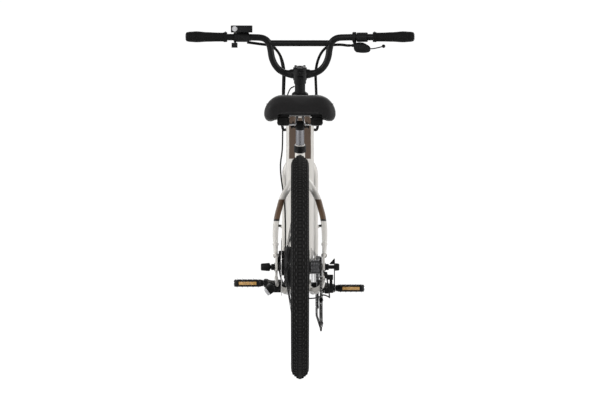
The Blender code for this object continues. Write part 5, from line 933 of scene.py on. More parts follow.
def makeChainstay(side, word):
    points = onSide(side, bracket, ((0.0295, -0.03, -0.004), (0.037, -0.092, -0.013), (0.043, -0.16, -0.014),
                                    (0.056, -0.26, -0.008), (0.07, -0.35, 0.008), (0.0745, -0.43, 0.033)))
    stay = makeStay(points, (0.0065, 0.0065, 0.0065, 0.007, 0.0065, 0.0055),
                    (0.013, 0.012, 0.011, 0.01, 0.01, 0.009))
    carve(stay, brick(bracket + Vector((0.0, 0.0557, 0.02)), (0.3, 0.2, 0.3)))
    # the dropout, open below for the axle; the right one carries the hanger
    slot = tubing["axleSlot"]
    outline = [(-0.0135, -0.01), (-0.015, 0.006), (-0.01, 0.0175), (0.005, 0.033), (0.02, 0.033),
               (0.024, 0.01), (0.034, -0.022), (0.033, -0.04), (0.019, -0.044)]
    if side > 0:
        outline += [(0.0105, -0.039), (-0.006, -0.0385), (-0.0115, -0.03), (-0.008, -0.018), (slot, -0.0165)]
    else:
        outline += [(0.01, -0.025), (slot, -0.012)]
    outline += [(slot * math.cos(math.pi * k / 8), slot * math.sin(math.pi * k / 8)) for k in range(9)]
    start = rearAxle + right * (0.07 if side > 0 else -0.0774)
    parts = [stay, plate(outline + [(-slot, -0.012)], 0.0074, sideFrame(start), 0.001)]
    if side < 0:  # the calliper's mount
        parts.append(brick(rearAxle + Vector((-0.07395, 0.046, 0.015)), (0.0045, 0.06, 0.016), None, 0.0012))
    finishPiece(parts, "chainstay_tube_" + word, "cream", "frame", ["chainstay_" + word])


def makeUpperKnuckle():  # the derailleur's, on its hanger
    root = rearAxle + Vector((0.075, -0.001, -0.025))
    swing = rearAxle + Vector((0.097, 0.006, -0.032))
    knuckle = [pin(root, right, 0.0, 0.0105, 0.01, 32, None, 0.0008),
               brick(Vector((0.08175, swing.y, swing.z + 0.005)), (0.0095, 0.029, 0.012), None, 0.0012)]
    for way in (-1, 1):
        cheek = Vector((0.0945, swing.y + way * 0.0124, swing.z))
        knuckle.append(brick(cheek, (0.018, 0.0042, 0.016), None, 0.0012))
    finishPiece(knuckle, "derailleur_b_knuckle", "cast", "frame")


def makeSeatstay(side, word):
    points = [seatPoint(0.622) + right * side * 0.012]
    points += onSide(side, rearAxle, ((0.024, 0.297, 0.266), (0.038, 0.265, 0.247), (0.055, 0.235, 0.217),
                                      (0.065, 0.203, 0.185), (0.0735, 0.165, 0.15), (0.0775, 0.11, 0.1),
                                      (0.0752, 0.013, 0.022)))
    sleeves = []
    for share in (0.36, 0.8):  # the two weld collars on its lower part
        near, far = points[-2].lerp(points[-1], share), points[-2].lerp(points[-1], share + 0.035)
        sleeves.append(tube([near, near.lerp(far, 0.5), far], [0.0086, 0.0096, 0.0086],
                            [0.0104, 0.0112, 0.0104], 20))
    stay = makeStay(points, (0.01, 0.0105, 0.0105, 0.01, 0.0095, 0.0092, 0.0088, 0.0056),
                    (0.015, 0.014, 0.013, 0.0115, 0.011, 0.0105, 0.01, 0.01))
    carve(stay, pin(seatPoint(0.5), seatUp, 0.0, 0.25, 0.0165, 40),
          brick(Vector((-side * 0.0997, -0.25, 0.62)), (0.2, 0.2, 0.2)),
          brick(rearAxle + up * (0.0333 - 0.05), (0.3, 0.2, 0.1)))
    finishPiece([stay, *sleeves], "seatstay_tube_" + word, "seatstay", "frame", ["seatstay_" + word])
    spot = Vector((side * 0.069, rearAxle.y + 0.138, tubing["bossHeight"]))
    boss = pin(spot, right * side, 0.0, -0.0095, 0.0042, 24, 0.0036, 0.0006)
    finishPiece(boss, "seatstay_boss_" + word, "black", "frame")


def makeCaliper(word, brake):
    spot, over = caliperSpot(brake)
    along = over.cross(right)
    side = Matrix((right, along, over)).transposed()
    block = brick(spot, (0.024, 0.044, 0.03), side, 0.0032, 3)
    carve(block, brick(spot - over * 0.008, (0.0042, 0.09, 0.036), side))
    parts = [block]
    for end in (-1, 1):
        ear = spot + along * end * 0.026 - over * 0.004
        parts += [brick(ear, (0.018, 0.016, 0.011), side, 0.0024, 3),
                  pin(ear, over, -0.0065, 0.0085, 0.003, 6),
                  pin(ear, over, 0.0055, 0.01, 0.0048, 28, None, 0.0006)]
    for way in (-right, right):  # piston covers with a hexagon each
        cover = pin(spot, way, 0.01, 0.0132, 0.011, 36, 0.0102, 0.0008)
        parts.append(carve(cover, pin(spot, way, 0.0118, 0.015, 0.0034, 6)))
    finishPiece(parts, word + "_caliper_casting", "cast", brake["body"], [word + "_caliper"])


def makeAxles():
    nut, cap = 0.0799, 0.1093
    left = [(0.0, -0.1225), (0.0085, -0.1225), (0.0112, -0.12), (0.013, -0.0965), (0.0122, -0.0948),
            (0.006, -0.092), (0.006, -nut), (0.0135, -nut), (0.0135, -0.0777), (0.006, -0.0777)]
    rightSide = [(0.006, 0.0777), (0.0135, 0.0777), (0.0135, nut), (0.006, nut), (0.006, cap), (0.0112, cap),
                 (0.012, cap + 0.001), (0.011, 0.121), (0.009, 0.123), (0.0, 0.123)]
    bar = lathe(left + rightSide, 40, rearAxle, right)
    nuts = [hexNut(rearAxle, way, nut, nut + 0.01, 0.0112) for way in (-right, right)]
    finishPiece([bar, *nuts], "rear_axle_set", "cast", "frame", ["rear_axle"])
    bar = pin(frontAxle, right, -0.068, 0.068, 0.005, 28, None, 0.0006)
    nuts = [hexNut(frontAxle, way, 0.0567, 0.065, 0.0105) for way in (-right, right)]
    finishPiece([bar, *nuts], "front_axle_set", "steel", "steering", ["front_axle"])


makeDownTube()
makeHeadTube()
makeSeatTube()
for side, word in bothSides:
    makeChainstay(side, word)
    makeSeatstay(side, word)
makeUpperKnuckle()
for word, brake in brakes.items():
    makeCaliper(word, brake)
makeAxles()
print("frame made")

# Fork and cockpit

def makeFork():
    spots = onSide(1, frontAxle, ((0.0532, -0.004, 0.024), (0.0528, -0.035, 0.075), (0.0505, -0.078, 0.15),
                                  (0.0495, -0.125, 0.24)))
    for height, x, y in ((0.64, 0.049, 0.0005), (0.666, 0.044, -0.0003), (0.683, 0.03, 0.0),
                         (0.689, 0.0, 0.0)):
        spots.append(steerPoint(height) + Vector((x, y, 0.0)))
    radii = [0.0085, 0.0095, 0.0105, 0.0115, 0.012, 0.013, 0.015, 0.0165]
    spots += [acrossFrom(p) for p in reversed(spots[:-1])]
    steps = cockpit["steps"]
    thick = easedValues(radii + radii[-2::-1], steps)
    blades = tube(eased(spots, steps), [r * 1.12 for r in thick], thick, cockpit["sides"], steerForward)
    crown = steerPoint(0.691)
    seat = steerPoint(bike["headLow"]) - steerUp * 0.0003
    parts = [blades, rod(crown, steerPoint(0.998), 0.0143, 40), rod(crown, seat, 0.019, 48, 0.0275, 0.0006)]
    slot = 0.0056
    outline = [(-slot, -0.015), (-0.013, -0.008), (-0.014, 0.01), (-0.011, 0.034), (0.006, 0.034),
               (0.013, 0.012), (0.013, -0.008), (slot, -0.015), (slot, 0.0), (slot * 0.65, slot),
               (-slot * 0.65, slot), (-slot, 0.0)]
    for side in (-1, 1):  # the fork ends, and the bosses on the blades
        start = frontAxle + right * (0.0502 if side > 0 else -0.0562)
        parts.append(plate(outline, 0.006, sideFrame(start), 0.0009))
        boss = frontAxle + Vector((side * 0.052, -0.0615, 0.12))
        parts.append(pin(boss, right * side, 0.0, 0.0145, 0.006, 28, 0.0054, 0.0006))
    parts.append(brick(frontAxle + Vector((-0.05695, -0.0475, 0.034)), (0.0045, 0.06, 0.016), None, 0.0012))
    finishPiece(parts, "fork_blades", "cream", "steering", ["fork"])


def makeStem():
    low = steerPoint(bike["headHigh"]) + steerUp * 0.0003
    stack, top = 0.0455 / steerUp.z, 0.0995 / steerUp.z
    profile = [(0.0148, 0.0), (0.0274, 0.0), (0.028, 0.0008), (0.028, 0.0105), (0.0268, 0.0122),
               (0.0175, 0.019)]
    joint = 0.019
    while joint < stack - 0.006:  # spacers with a fine gap between each two
        joint += 0.0074
        profile += [(0.0175, joint - 0.0006), (0.017, joint), (0.0175, joint + 0.0006)]
    profile += [(0.0175, stack), (0.0199, stack + 0.0003), (0.0205, stack + 0.0012), (0.0205, top - 0.003),
                (0.019, top - 0.0012), (0.0165, top), (0.01, top), (0.009, top - 0.002), (0.0, top - 0.002),
                (0.0, top - 0.008), (0.0148, top - 0.008)]
    stack = lathe(profile, 56, low, steerUp)
    root = steerPoint(0.977)
    route = eased([root + (barCentre - root) * k for k in (0.0, 0.5, 0.88)], 6)
    reach = tube(route, easedValues((0.0185, 0.0165, 0.017), 6), easedValues((0.018, 0.015, 0.016), 6), 28)
    carve(reach, rod(low, steerPoint(0.998) + steerUp * 0.004, 0.0146, 40))
    clamp = lathe([(0.0161, -0.023), (0.0211, -0.023), (0.0221, -0.022), (0.0221, 0.022), (0.0211, 0.023),
                   (0.0161, 0.023)], 48, barCentre, right)
    bolts = []
    for x, way in ((-0.0148, -1), (-0.0148, 1), (0.0148, -1), (0.0148, 1)):  # faceplate bolts on lugs
        spot = barCentre + right * x + up * way * 0.0235 + forward * 0.002
        bolts += [brick(spot, (0.0085, 0.016, 0.011), None, 0.0026, 3),
                  pin(spot, forward, 0.007, 0.012, 0.0036, 24, None, 0.0005)]
    for level in (-0.01, 0.01):  # the two pinch bolts of the steerer clamp, behind
        spot = steerPoint(0.984) - steerForward * 0.0205 + steerUp * level
        bolts += [brick(spot, (0.02, 0.009, 0.009), Matrix.Rotation(math.radians(20), 3, "X"), 0.0018),
                  pin(spot, right, 0.0085, 0.0125, 0.0036, 24, None, 0.0005)]
    finishPiece([stack, reach, clamp, *bolts], "stem_body", "black", "steering", ["stem"])


def makeBar():
    # from the clamp, up the U's side and out along the grip
    half = onSide(1, barCentre, ((0.0, 0.0, 0.0), (0.026, 0.0, 0.0), (0.04, 0.0, 0.0005),
                                 (0.056, -0.002, 0.005), (0.072, -0.006, 0.015), (0.086, -0.012, 0.0327),
                                 (0.095, -0.019, 0.0557), (0.099, -0.0245, 0.0811), (0.1045, -0.029, 0.1016),
                                 (0.115, -0.0325, 0.1137), (0.131, -0.0355, 0.1198), (0.16, -0.039, 0.121)))
    half += [barPoint(cockpit["bendX"]), barPoint(cockpit["barHalf"] - 0.003)]
    fat, thin = 0.0159, cockpit["barRadius"]
    radii = [fat, fat, 0.0125] + [thin] * 11
    spots = [acrossFrom(p) for p in reversed(half)] + half[1:]
    steps = cockpit["steps"] + 1
    wide = [max(thin, r) for r in easedValues(radii[::-1] + radii[1:], steps)]
    bar = tube(eased(spots, steps), wide, wide, cockpit["sides"], forward)
    end = Vector((0.107, barCentre.y - 0.029, 1.0866))
    cross = rod(acrossFrom(end), end, cockpit["crossRadius"], 28)
    finishPiece([bar, cross], "bar_tube", "black", "steering", ["handlebar"])


def makeGrips():
    start = cockpit["barHalf"] + 0.0035 - cockpit["gripLength"]
    rows = ((0.0, 0.016, 0.016, 0.0), (0.006, 0.0165, 0.0165, 0.0), (0.082, 0.0168, 0.0168, 0.0),
            (0.088, 0.0162, 0.0162, 0.0), (0.092, 0.015, 0.0152, 0.0), (0.25, 0.0152, 0.017, 0.0015),
            (0.47, 0.0162, 0.02, 0.0045), (0.74, 0.0185, 0.0255, 0.0095), (0.9, 0.0172, 0.0215, 0.007),
            (0.975, 0.0155, 0.0186, 0.0052), (0.995, 0.013, 0.0155, 0.0044), (1.0, 0.01, 0.012, 0.004))
    for side, word in bothSides:
        places, talls, deeps, backs = zip(*rows)
        count = 120
        rings = []
        for k in range(count + 1):
            along = k / count
            m = max(i for i in range(len(places) - 1) if places[i] <= along)
            share = (along - places[m]) / (places[m + 1] - places[m])
            share = share * share * (3 - 2 * share)
            tall, deep, back = (row[m] + (row[m + 1] - row[m]) * share for row in (talls, deeps, backs))
            inside = min(max((along - 0.12) / 0.03, 0.0), 1.0) * min(max((0.93 - along) / 0.03, 0.0), 1.0)
            rib = cockpit["ribDepth"] * inside * (0.5 + 0.5 * math.cos(math.tau * along * 26))
            centre = barPoint(side * (start + cockpit["gripLength"] * along)) - forward * back
            ring = []
            for t in (math.tau * i / 28 for i in range(28)):
                palm = max(0.0, math.cos(t * 2)) if math.cos(t) < 0 else 0.25
                ring.append(centre + forward * (deep - rib * palm) * math.cos(t)
                            + up * (tall - rib * palm) * math.sin(t))
            rings.append(ring)
        grip = loft(rings)
        carve(grip, rod(barPoint(side * (start - 0.02)), barPoint(side * (cockpit["barHalf"] - 0.0025)),
                        0.0113, 32))
        finishPiece(grip, "grip_cover_" + word, "rubber", "steering", ["grip_" + word], 40.0)
        spot = barPoint(side * (start + 0.006))
        foot, head = spot + up * 0.012 + forward * 0.006, spot + up * 0.0185 + forward * 0.009
        bolt = rod(foot, head, 0.003, 20, None, 0.0004)
        finishPiece(bolt, "grip_bolt_" + word, "steel", "steering")
        edge = barPoint(side * (cockpit["barHalf"] + 0.003)) - forward * 0.004
        outwards = (barPoint(side * 0.3) - barPoint(side * 0.2)).normalized()
        lid = pin(edge, outwards, 0.0, 0.0016, 0.0112, 36, 0.0104, 0.0005)
        finishPiece(lid, "grip_end_" + word, "pale", "steering")


def makeLevers():
    for side, word in bothSides:
        spot = barPoint(side * bike[word + "Lever"]) + forward * bike["leverAhead"]
        route = onSide(side, spot, ((0.0, 0.0, 0.0), (0.03, 0.006, 0.0), (0.055, 0.01, -0.001),
                                    (0.095, 0.008, -0.002), (0.132, 0.008, -0.003), (0.15, 0.012, -0.003)))
        blade = tube(eased(route, 5), easedValues((0.0038, 0.0038, 0.0055, 0.0055, 0.0055, 0.006), 5),
                     easedValues((0.006, 0.005, 0.0038, 0.0035, 0.0038, 0.005), 5), 18, up)
        ball = lathe([(0.0, -0.0062), (0.003, -0.0055), (0.0054, -0.003), (0.0062, 0.0), (0.0054, 0.003),
                      (0.003, 0.0055), (0.0, 0.0062)], 20, route[-1], right)
        piece = together(blade, pin(spot, up, -0.004, 0.004, 0.008, 32, None, 0.0006), ball)
        carve(piece, pin(spot, up, -0.01, 0.01, 0.0024, 20))
        finishPiece(piece, "brake_blade_" + word, "black", word + "_brake_lever", ["brake_lever_" + word])


def makeControls():
    pod = Vector((-0.1957, barPoint(-0.2).y - 0.002, 1.1335))
    glass = brick(pod + up * 0.0111, (0.06, 0.027, 0.0006), None, 0.0002, 1)
    finishPiece(glass, "display_glass", "screen", "steering")
    spot = Vector((-0.219, barPoint(-0.2).y - 0.02, 1.1335))
    cap = lathe([(0.0, -0.002), (0.0062, -0.002), (0.007, -0.001), (0.0084, -0.0016), (0.009, -0.0008),
                 (0.009, 0.0038), (0.0, 0.0038)], 40, spot, forward)
    finishPiece(cap, "round_button", "pale", "button", ["display_button"])


def makeShifter():
    base = barPoint(0.1825)
    ring = lathe([(0.0113, -0.0055), (0.0172, -0.0055), (0.018, -0.0047), (0.018, 0.0047), (0.0172, 0.0055),
                  (0.0113, 0.0055)], 40, base, barPoint(0.3) - barPoint(0.2))
    neck = brick(base + Vector((0.001, 0.0, -0.022)), (0.0105, 0.02, 0.014), None, 0.002, 2)
    middle = Vector((0.208, base.y - 0.004, 1.0715))
    rings = []  # a pod that bulges under the bar and tapers towards the lever
    for share, tall, deep, drop in ((-1.0, 0.3, 0.5, 0.2), (-0.93, 0.62, 0.8, 0.1), (-0.7, 0.9, 0.95, 0.0),
                                    (-0.3, 1.0, 1.0, 0.0), (0.15, 0.98, 1.0, -0.06), (0.55, 0.8, 0.96, -0.2),
                                    (0.85, 0.58, 0.8, -0.28), (1.0, 0.3, 0.45, -0.3)):
        centre = middle + right * share * 0.028 + up * drop * 0.0175
        outline = softBox(0.016 * deep, 0.0175 * tall, 0.012 * min(tall, deep), 5)
        rings.append([centre + forward * x + up * z for x, z in outline])
    pod = loft(rings)
    spot = Vector((0.224, base.y + 0.002, 1.0675))
    carve(pod, brick(spot + Vector((0.006, 0.009, 0.0)), (0.034, 0.04, 0.005)))
    place = Vector((0.213, middle.y - 0.013, middle.z - 0.001))
    cap = lathe([(0.0, 0.0), (0.0145, 0.0), (0.0148, 0.003), (0.014, 0.0042), (0.012, 0.0052),
                 (0.0114, 0.0048), (0.0105, 0.0066), (0.006, 0.008), (0.0, 0.0084)], 48, place, -forward)
    barrel = Vector((0.183, base.y, 1.0785))
    adjuster = lathe([(0.0, 0.0), (0.0048, 0.0), (0.0052, 0.002), (0.0052, 0.008), (0.004, 0.0095),
                      (0.0036, 0.015), (0.0, 0.015)], 20, barrel, -right)
    finishPiece([ring, neck, pod, cap, adjuster], "shifter_housing", "plastic", "steering",
                ["shifter_pod"])
    hub = pin(spot, up, -0.002, 0.002, 0.0065, 32, None, 0.0004)
    route = onSide(1, spot, ((0.002, -0.002, 0.0), (0.018, -0.006, 0.0), (0.037, -0.011, 0.003),
                             (0.056, -0.017, 0.008)))
    arm = tube(eased(route, 5), 0.002, easedValues((0.0044, 0.0036, 0.003, 0.0032), 5), 16, up)
    ball = lathe([(0.0, -0.0062), (0.0032, -0.0054), (0.0054, -0.003), (0.0062, 0.0), (0.0054, 0.003),
                  (0.0032, 0.0054), (0.0, 0.0062)], 24, route[-1], right)
    finishPiece([hub, arm, ball], "gear_thumb_lever", "black", "gear_lever", ["shift_lever"])


makeFork()
makeStem()
makeBar()
makeGrips()
makeLevers()
makeControls()
makeShifter()
print("fork and cockpit made")

# Saddle and its post

saddle = {"top": 0.888, "half": 0.115, "rear": -0.415, "length": 0.277, "low": 0.8343, "swell": 0.006,
          "pressure": 4.0, "voxel": 0.0045, "shrink": 0.985, "pipeRadius": 0.0016, "blockX": 0.053}


def cushionRings(rows, columns):
    places = (0.0, 0.022, 0.075, 0.16, 0.26, 0.37, 0.5, 0.66, 0.83, 0.95, 1.0)
    shares = (0.62, 0.83, 0.965, 1.0, 0.95, 0.785, 0.55, 0.36, 0.255, 0.175, 0.09)
    drops = (-0.02, -0.006, -0.001, 0.0, -0.0006, -0.0026, -0.0048, -0.0063, -0.0086, -0.014, -0.024)
    lobes = (0.55, 0.85, 1.0, 1.0, 0.95, 0.76, 0.5, 0.32, 0.24, 0.2, 0.1)
    shape = ((0.0, 0.0, 0.0), (0.36, 0.005, 0.0), (0.62, 0.01, 0.0), (0.8, 0.13, 0.0), (0.94, 0.36, 0.0),
             (1.0, 0.62, 0.0), (0.985, 0.86, 0.0), (0.91, 1.0, 1.0), (0.82, 0.98, 1.0), (0.765, 0.7, 1.0),
             (0.745, 0.0, 2.0), (0.4, 0.0, 2.0), (0.0, 0.0, 2.0))
    rings = []
    for along, share, drop, lobe in zip(easedValues(places, rows), easedValues(shares, rows),
                                        easedValues(drops, rows), easedValues(lobes, rows)):
        y = saddle["rear"] + saddle["length"] * along
        half = saddle["half"] * share
        crown = saddle["top"] + drop
        skirt = saddle["low"] - 0.029 * lobe
        ring = []
        for across, down, kind in shape:
            z = saddle["low"] if kind == 2.0 else crown - (crown - skirt) * down
            dip = 0.0018 * math.exp(-(across / 0.18) ** 2) if kind == 0.0 else 0.0
            ring.append(Vector((half * across, y, z - dip)))
        skin = eased(ring[:8], columns) + eased(ring[7:10], columns)[1:] + ring[10:]
        rings.append(skin + [Vector((-p.x, p.y, p.z)) for p in reversed(skin[1:-1])])
    return rings


def makeCushion():
    piece = loft(cushionRings(2, 2))
    middle = Vector((0.0, saddle["rear"] + saddle["length"] * 0.4, 0.857))
    share = saddle["shrink"]
    for vertex in piece.data.vertices:
        vertex.co = middle + (vertex.co - middle) * share
    finishModifier(piece, "REMESH", mode="VOXEL", voxel_size=saddle["voxel"])
    swell(piece, saddle["swell"])
    finishModifier(piece, "CORRECTIVE_SMOOTH", factor=0.5, iterations=4, smooth_type="SIMPLE",
                   use_only_smooth=True)
    finishModifier(piece, "SUBSURF", levels=1, render_levels=1)
    finishPiece(piece, "saddle_pad", "saddle", "saddle", ["saddle_cushion"], 70.0)
    # the piped seam, laid on the cover where its top panel meets its sides
    for side, word in bothSides:
        path = []
        for k in range(3, 44):
            along = 0.015 + 0.94 * k / 44
            y = saddle["rear"] + saddle["length"] * along
            start = Vector((side * saddle["half"] * 1.3, y, 0.862 + 0.012 * min(along * 1.2, 1.0)))
            found, spot, normal, face = piece.ray_cast(start, Vector((-side, 0.0, 0.0)))
            if found:
                path.append(spot + normal * saddle["pipeRadius"] * 0.25)
        if len(path) > 8:
            pipe = tube(path, saddle["pipeRadius"], saddle["pipeRadius"], 10, up)
            finishPiece(pipe, "saddle_piping_" + word, "saddle", "saddle", (), 60.0)


def swell(piece, cap):  # lets the cover puff out under a little pressure, no further than the cap
    rest = [vertex.co.copy() for vertex in piece.data.vertices]
    pick(piece)
    cloth = piece.modifiers.new("puff", "CLOTH")
    cloth.settings.use_pressure = True
    cloth.settings.uniform_pressure_force = saddle["pressure"]
    cloth.settings.effector_weights.gravity = 0.0
    cloth.settings.quality = 5
    cloth.point_cache.frame_start = 1
    cloth.point_cache.frame_end = 20
    for tick in range(1, 21):
        bpy.context.scene.frame_set(tick)
    bpy.ops.object.modifier_apply(modifier=cloth.name)
    bpy.context.scene.frame_set(1)
    for vertex, start in zip(piece.data.vertices, rest):
        move = vertex.co - start
        if move.length > cap:
            vertex.co = start + move * (cap / move.length)


def makeSaddleBase():
    rear, floor = saddle["rear"] + 0.04, 0.834
    outline = [(-0.078, rear - 0.02), (0.078, rear - 0.02), (0.082, rear + 0.02), (0.06, rear + 0.07),
               (0.03, rear + 0.12), (0.014, rear + 0.205), (-0.014, rear + 0.205), (-0.03, rear + 0.12),
               (-0.06, rear + 0.07), (-0.082, rear + 0.02)]
    loop = eased([(x, y, 0.0) for x, y in outline + outline[:1]], 3)[:-1]
    pan = plate([(p.x, p.y) for p in loop], 0.005, Matrix.Translation(up * (floor - 0.005)), 0.0012, 2)
    finishPiece(pan, "saddle_pan", "plastic", "saddle", ["saddle_base"])
    for side, word in bothSides:
        foot = Vector((side * saddle["blockX"], rear, floor - 0.004))
        profile = [(0.0, 0.0), (0.019, 0.0), (0.0192, -0.005), (0.018, -0.0068), (0.0166, -0.0078),
                   (0.018, -0.009), (0.0196, -0.0102), (0.0198, -0.013), (0.0198, -0.018), (0.0186, -0.0194),
                   (0.0196, -0.0208), (0.0198, -0.027), (0.0192, -0.0284), (0.016, -0.0334), (0.015, -0.034),
                   (0.0, -0.034)]
        finishPiece(lathe(profile, 48, foot, up), "saddle_spring_" + word, "rubber", "saddle")
        route = onSide(side, Vector((0.0, rear, 0.801)), (
            (saddle["blockX"], 0.004, -0.0035), (0.04, 0.036, -0.002), (0.02, 0.064, 0.0),
            (0.0165, 0.08, 0.0), (0.0165, 0.135, 0.0), (0.012, 0.172, 0.009), (0.009, 0.194, 0.0284)))
        rail = tube(eased(route, 5), 0.0035, 0.0035, 16, up)
        finishPiece(rail, "saddle_rail_" + word, "steel", "saddle", (), 50.0)


def makeSeatpost():
    low = seatPoint(0.565)
    length = 0.224 / seatUp.z
    post = lathe([(0.0114, 0.0), (0.0132, 0.0), (0.0136, 0.0005), (0.0136, length), (0.0, length),
                  (0.0, length - 0.03), (0.0114, length - 0.03)], 56, low, seatUp)
    finishPiece(post, "seatpost_tube", "alloy", "saddle", ["seatpost"], 40.0)
    head = seatPoint(0.801)
    parts = [brick(head - up * 0.001, (0.025, 0.03, 0.026), None, 0.004, 3)]
    bolt = head - up * 0.0075
    parts.append(pin(bolt, right, -0.025, 0.025, 0.0028, 24, None, 0.0004))
    for way in (-right, right):
        parts += [hexNut(bolt, way, 0.0245, 0.029, 0.0058, 0.0006),
                  pin(head, way, 0.0203, 0.0243, 0.0105, 36, None, 0.001)]
    parts.append(lathe([(0.0, -0.005), (0.0145, -0.005), (0.015, -0.004), (0.015, 0.0), (0.0136, 0.006),
                        (0.0, 0.006)],
                       40, seatPoint(0.791), seatUp))
    finishPiece(parts, "seatpost_clamp", "black", "saddle")


makeSeatpost()
makeSaddleBase()
makeCushion()
print("saddle made")

# Drive: cranks, chainring, pedals, cogs, derailleur

drive = {"pitch": 0.0127, "ringTeeth": 46, "cogs": (28, 24, 22, 20, 18, 16, 14), "firstCog": 0.035,
         "cogStep": 0.005, "cogThick": 0.0018, "ringX": 0.054, "ringThick": 0.0022, "pedalInner": 0.124,
         "pedalLength": 0.086, "pedalDepth": 0.094, "pedalTall": 0.022, "studs": 5, "root": -0.0046,
         "tip": 0.0036}
crankTurn = math.radians(bike["crankTilt"])


def pitchRadius(teeth):
    return drive["pitch"] / (2 * math.sin(math.pi / teeth))


def toothed(teeth, phase):
    radius = pitchRadius(teeth)
    root, tip, flank = radius + drive["root"], radius + drive["tip"], radius + 0.0012
    outline = []
    for k in range(teeth):
        for share, r in ((-0.3, root + 0.0006), (-0.14, root), (0.14, root), (0.3, root + 0.0006),
                         (0.4, flank), (0.465, tip), (0.535, tip), (0.6, flank)):
            turn = phase + math.tau * (k + share) / teeth
            outline.append((r * math.cos(turn), r * math.sin(turn)))
    return outline


def gapTurn(name, centre, teeth, beyond=-1.0):
    # where a gap of the CAD wheel's teeth lies, past a place across
    far, turn = 0.0, 0.0
    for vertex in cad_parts[name].data.vertices:
        spot = vertex.co - centre
        radius = math.hypot(spot.y, spot.z)
        if spot.x > beyond and radius > far + 1e-5:
            far, turn = radius, math.atan2(spot.z, spot.y)
    return turn - math.pi / teeth


def crankSpot(side):
    reach = bike["crankLength"]
    return bracket + Vector((0.0, side * reach * math.cos(crankTurn), -side * reach * math.sin(crankTurn)))


def makeCranks():
    # along the arm: distance, place across, half thickness, half width
    places, xs, thicks, wides = (easedValues(row, 4) for row in (
        (0.0, 0.03, 0.1, 0.15, 0.17, 0.182), (0.066, 0.07, 0.093, 0.106, 0.109, 0.109),
        (0.0095, 0.0085, 0.007, 0.0065, 0.007, 0.006), (0.018, 0.015, 0.0125, 0.013, 0.014, 0.009)))
    for side, word in bothSides:
        way = (crankSpot(side) - bracket).normalized()
        over, out = way.cross(right), right * side
        rings = []
        for s, x, t, w in zip(places, xs, thicks, wides):
            centre = bracket + way * s + out * x
            rings.append([centre + right * a + over * b for a, b in softBox(t, w, t * 0.6, 4)])
        root = bracket + out * 0.066
        dust = pin(root, out, 0.0095, 0.0118, 0.0108, 36, 0.0104, 0.0008)
        carve(dust, pin(root, out, 0.0106, 0.013, 0.0044, 6))
        parts = [loft(rings), pin(root, out, -0.0095, 0.0105, 0.0205, 48, 0.019, 0.001), dust]
        if side < 0:  # the spindle and its sleeve
            parts += [pin(bracket, right, -0.066, 0.0562, 0.011, 32),
                      pin(bracket, right, -0.035, 0.035, 0.015, 40)]
        finishPiece(parts, "crank_forging_" + word, "black", "crank", ["crank_arm_" + word])


def makeChainring():
    teeth = drive["ringTeeth"]
    low = drive["ringX"] - drive["ringThick"] / 2
    ring = plate(toothed(teeth, gapTurn("chainring", bracket, teeth)), drive["ringThick"],
                 sideFrame(bracket + right * low), 0.0003, 1)
    carve(ring, pin(bracket, right, low - 0.01, low + 0.01, 0.068, 96))
    slots = []
    for k in range(20):  # lightening holes under the teeth
        at = bracket + wheelSpot(math.tau * k / 20 + 0.08, 0.0795, low - 0.005)
        slots.append(pin(at, right, 0.0, 0.012, 0.0024, 16))
    carve(ring, together(*slots))
    finishPiece(ring, "chainring_disc", "cog", "crank", ["chainring"], 30.0)
    spider, bolts = [], []
    face = drive["ringX"] + 0.0014
    for k in range(5):
        way = wheelSpot(spiderTurn() + math.tau * k / 5, 1.0)
        skew = right.cross(way)
        rings = []
        for reach, half, thick in ((0.014, 0.009, 0.004), (0.03, 0.0066, 0.0028), (0.052, 0.0052, 0.0025),
                                   (0.07, 0.0062, 0.0025), (0.0765, 0.0046, 0.0022)):
            centre = bracket + way * reach + right * (face + 0.0025)
            rings.append([centre + right * a + skew * b for a, b in softBox(thick, half, thick * 0.7, 3)])
        spider.append(loft(rings))
        bolts.append(pin(bracket + way * 0.0715, right, face - 0.005, face + 0.0062, 0.0042, 24, 0.0038,
                         0.0006))
    finishPiece(spider, "spider_arms", "black", "crank")
    finishPiece(bolts, "chainring_bolts", "steel", "crank")


def spiderTurn():  # the direction of one of the CAD's spider arms, from the corner of its end
    far = max((vertex.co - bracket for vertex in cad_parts["crank_arm_right"].data.vertices
               if 0.056 < vertex.co.x < 0.063), key=lambda p: math.hypot(p.y, p.z))
    return math.atan2(far.z, far.y) - math.atan(0.006 / 0.076)


